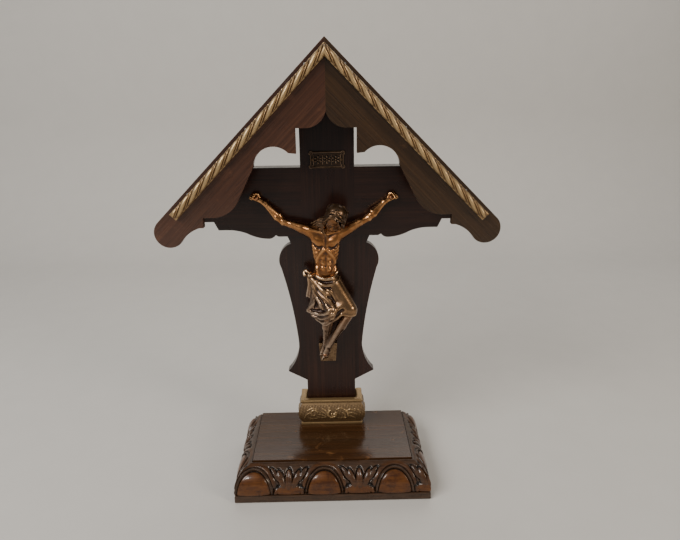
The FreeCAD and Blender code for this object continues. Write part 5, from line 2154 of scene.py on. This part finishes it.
# -------------------- the altar cross
@dataclass
class AltarCross:
    """The whole cross, built round the CAD frame."""

    nodes: dict[str, Object]

    def base_mouldings(self) -> MouldedFrame:
        """Size the carved mouldings of the base.

        Returns:
            The mouldings, ready to build.
        """
        low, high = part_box("base_moulding_front")
        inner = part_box("base_board")[1].x / MM
        run = high.x / MM - inner
        ledge, quirk, step = 7.2, 1.4, 1.8
        face_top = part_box("base_board")[1].z / MM - quirk
        rise = face_top - ledge
        section = [Stretch((run, 0.0), step=2.0), Stretch((run, ledge), step=0.5),
                   Stretch((run - step, ledge), step=0.4),
                   Stretch((quirk, face_top), via=(run * 0.66, ledge + rise * 0.72), step=0.34, carved=True),
                   Stretch((0.0, face_top), step=0.4), Stretch((0.0, 0.0), step=3.0)]
        return MouldedFrame("base_moulding", "carved_wood", (0.0, 0.0), section, LunetteCarving(),
                            LunetteCarving(first=-18.0), inner, low.y / MM + run,
                            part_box("base_board")[1].y / MM)

    def collar(self) -> MouldedFrame:
        """Size the gilt collar.

        Returns:
            Its mouldings, ready to build.
        """
        low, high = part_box("collar_front")
        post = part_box("post")[1].x / MM
        foot, top = low.z / MM, high.z / MM
        run, fillet, quirk, bulge = 6.8, 2.6, 2.0, 2.4
        section = [Stretch((run, foot), step=1.2), Stretch((run, foot + fillet), step=0.3),
                   Stretch((run - quirk, foot + fillet), step=0.3),
                   Stretch((run - quirk, top - fillet), via=(run + bulge, (foot + top) / 2), step=0.26,
                           carved=True),
                   Stretch((run, top - fillet), step=0.3), Stretch((run, top), step=0.3),
                   Stretch((0.0, top), step=1.2), Stretch((0.0, foot), step=2.0)]
        return MouldedFrame("collar", "gilt_wood", (0.0, foot), section, ScrollCarving(),
                            ScrollCarving(shift=34.0), post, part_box("post")[0].y / MM,
                            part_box("post")[1].y / MM, middle_rise=True, spacing=0.26)

    def build(self) -> None:
        """Build and dress every piece."""
        Joinery().build(self.nodes)
        Fixings().build(self.nodes)
        self.base_mouldings().build(CarvedFinish().build())
        self.collar().build(GiltFinish("collar_gilding", edge=0.1).build())
        rope_gilding = GiltFinish("rope_gilding", gold=(0.40, 0.275, 0.135, 1),
                                  worn=(0.20, 0.11, 0.045, 1)).build()
        for side in Side:
            RopeMoulding(side).build(rope_gilding)
        self.cast_pieces()

    def cast_pieces(self) -> None:
        """The figure, its foot block and the title plaque."""
        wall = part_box("post")[0].y / MM
        copper = BronzeFinish("copper_plated_bronze").build()
        pale = BronzeFinish("pale_bronze_cloth", warm_bright=(0.64, 0.43, 0.25, 1),
                            warm_middle=(0.27, 0.155, 0.075, 1)).build()
        antique = BronzeFinish("antique_bronze_hair", bright=(0.40, 0.29, 0.19, 1),
                               middle=(0.13, 0.085, 0.05, 1), dark=(0.016, 0.010, 0.007, 1)).build()
        dark = BronzeFinish("dark_bronze_plate", bright=(0.30, 0.20, 0.13, 1), rough=(0.28, 0.45),
                            middle=(0.055, 0.032, 0.020, 1), dark=(0.010, 0.007, 0.005, 1)).build()
        low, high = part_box("title_plaque")
        plaque = TitlePlaque(wall, middle=(low.z + high.z) / 2 / MM, half_width=high.x / MM).build()
        for piece, finish, slot, nodes in (
                (CastBody(wall).build(), copper, "cast_bronze", ("corpus",)),
                (CastHead(wall).build(), antique, "cast_bronze", ()),
                (CastCloth(wall).build(), pale, "cast_bronze", ()),
                (plaque, dark, "dark_bronze", ("title_plaque",))):
            dress(piece, finish)
            stand_for(piece, slot, *nodes)
        block = self.nodes["foot_block"]
        bronze = PlainMetal("foot_block_bronze", (0.25, 0.165, 0.095, 1), (0.09, 0.05, 0.03, 1), (0.2, 0.36))
        dress(block, bronze.build())
        ease_edges(block, 1.0 * MM)
        LOG.info("foot_block: dressed as %s", bronze.name)


def main() -> None:
    """Load the frame, and build the cross and the studio."""
    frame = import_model()
    AltarCross(frame["nodes"]).build()
    Studio().build()


if __name__ == "__main__":
    main()
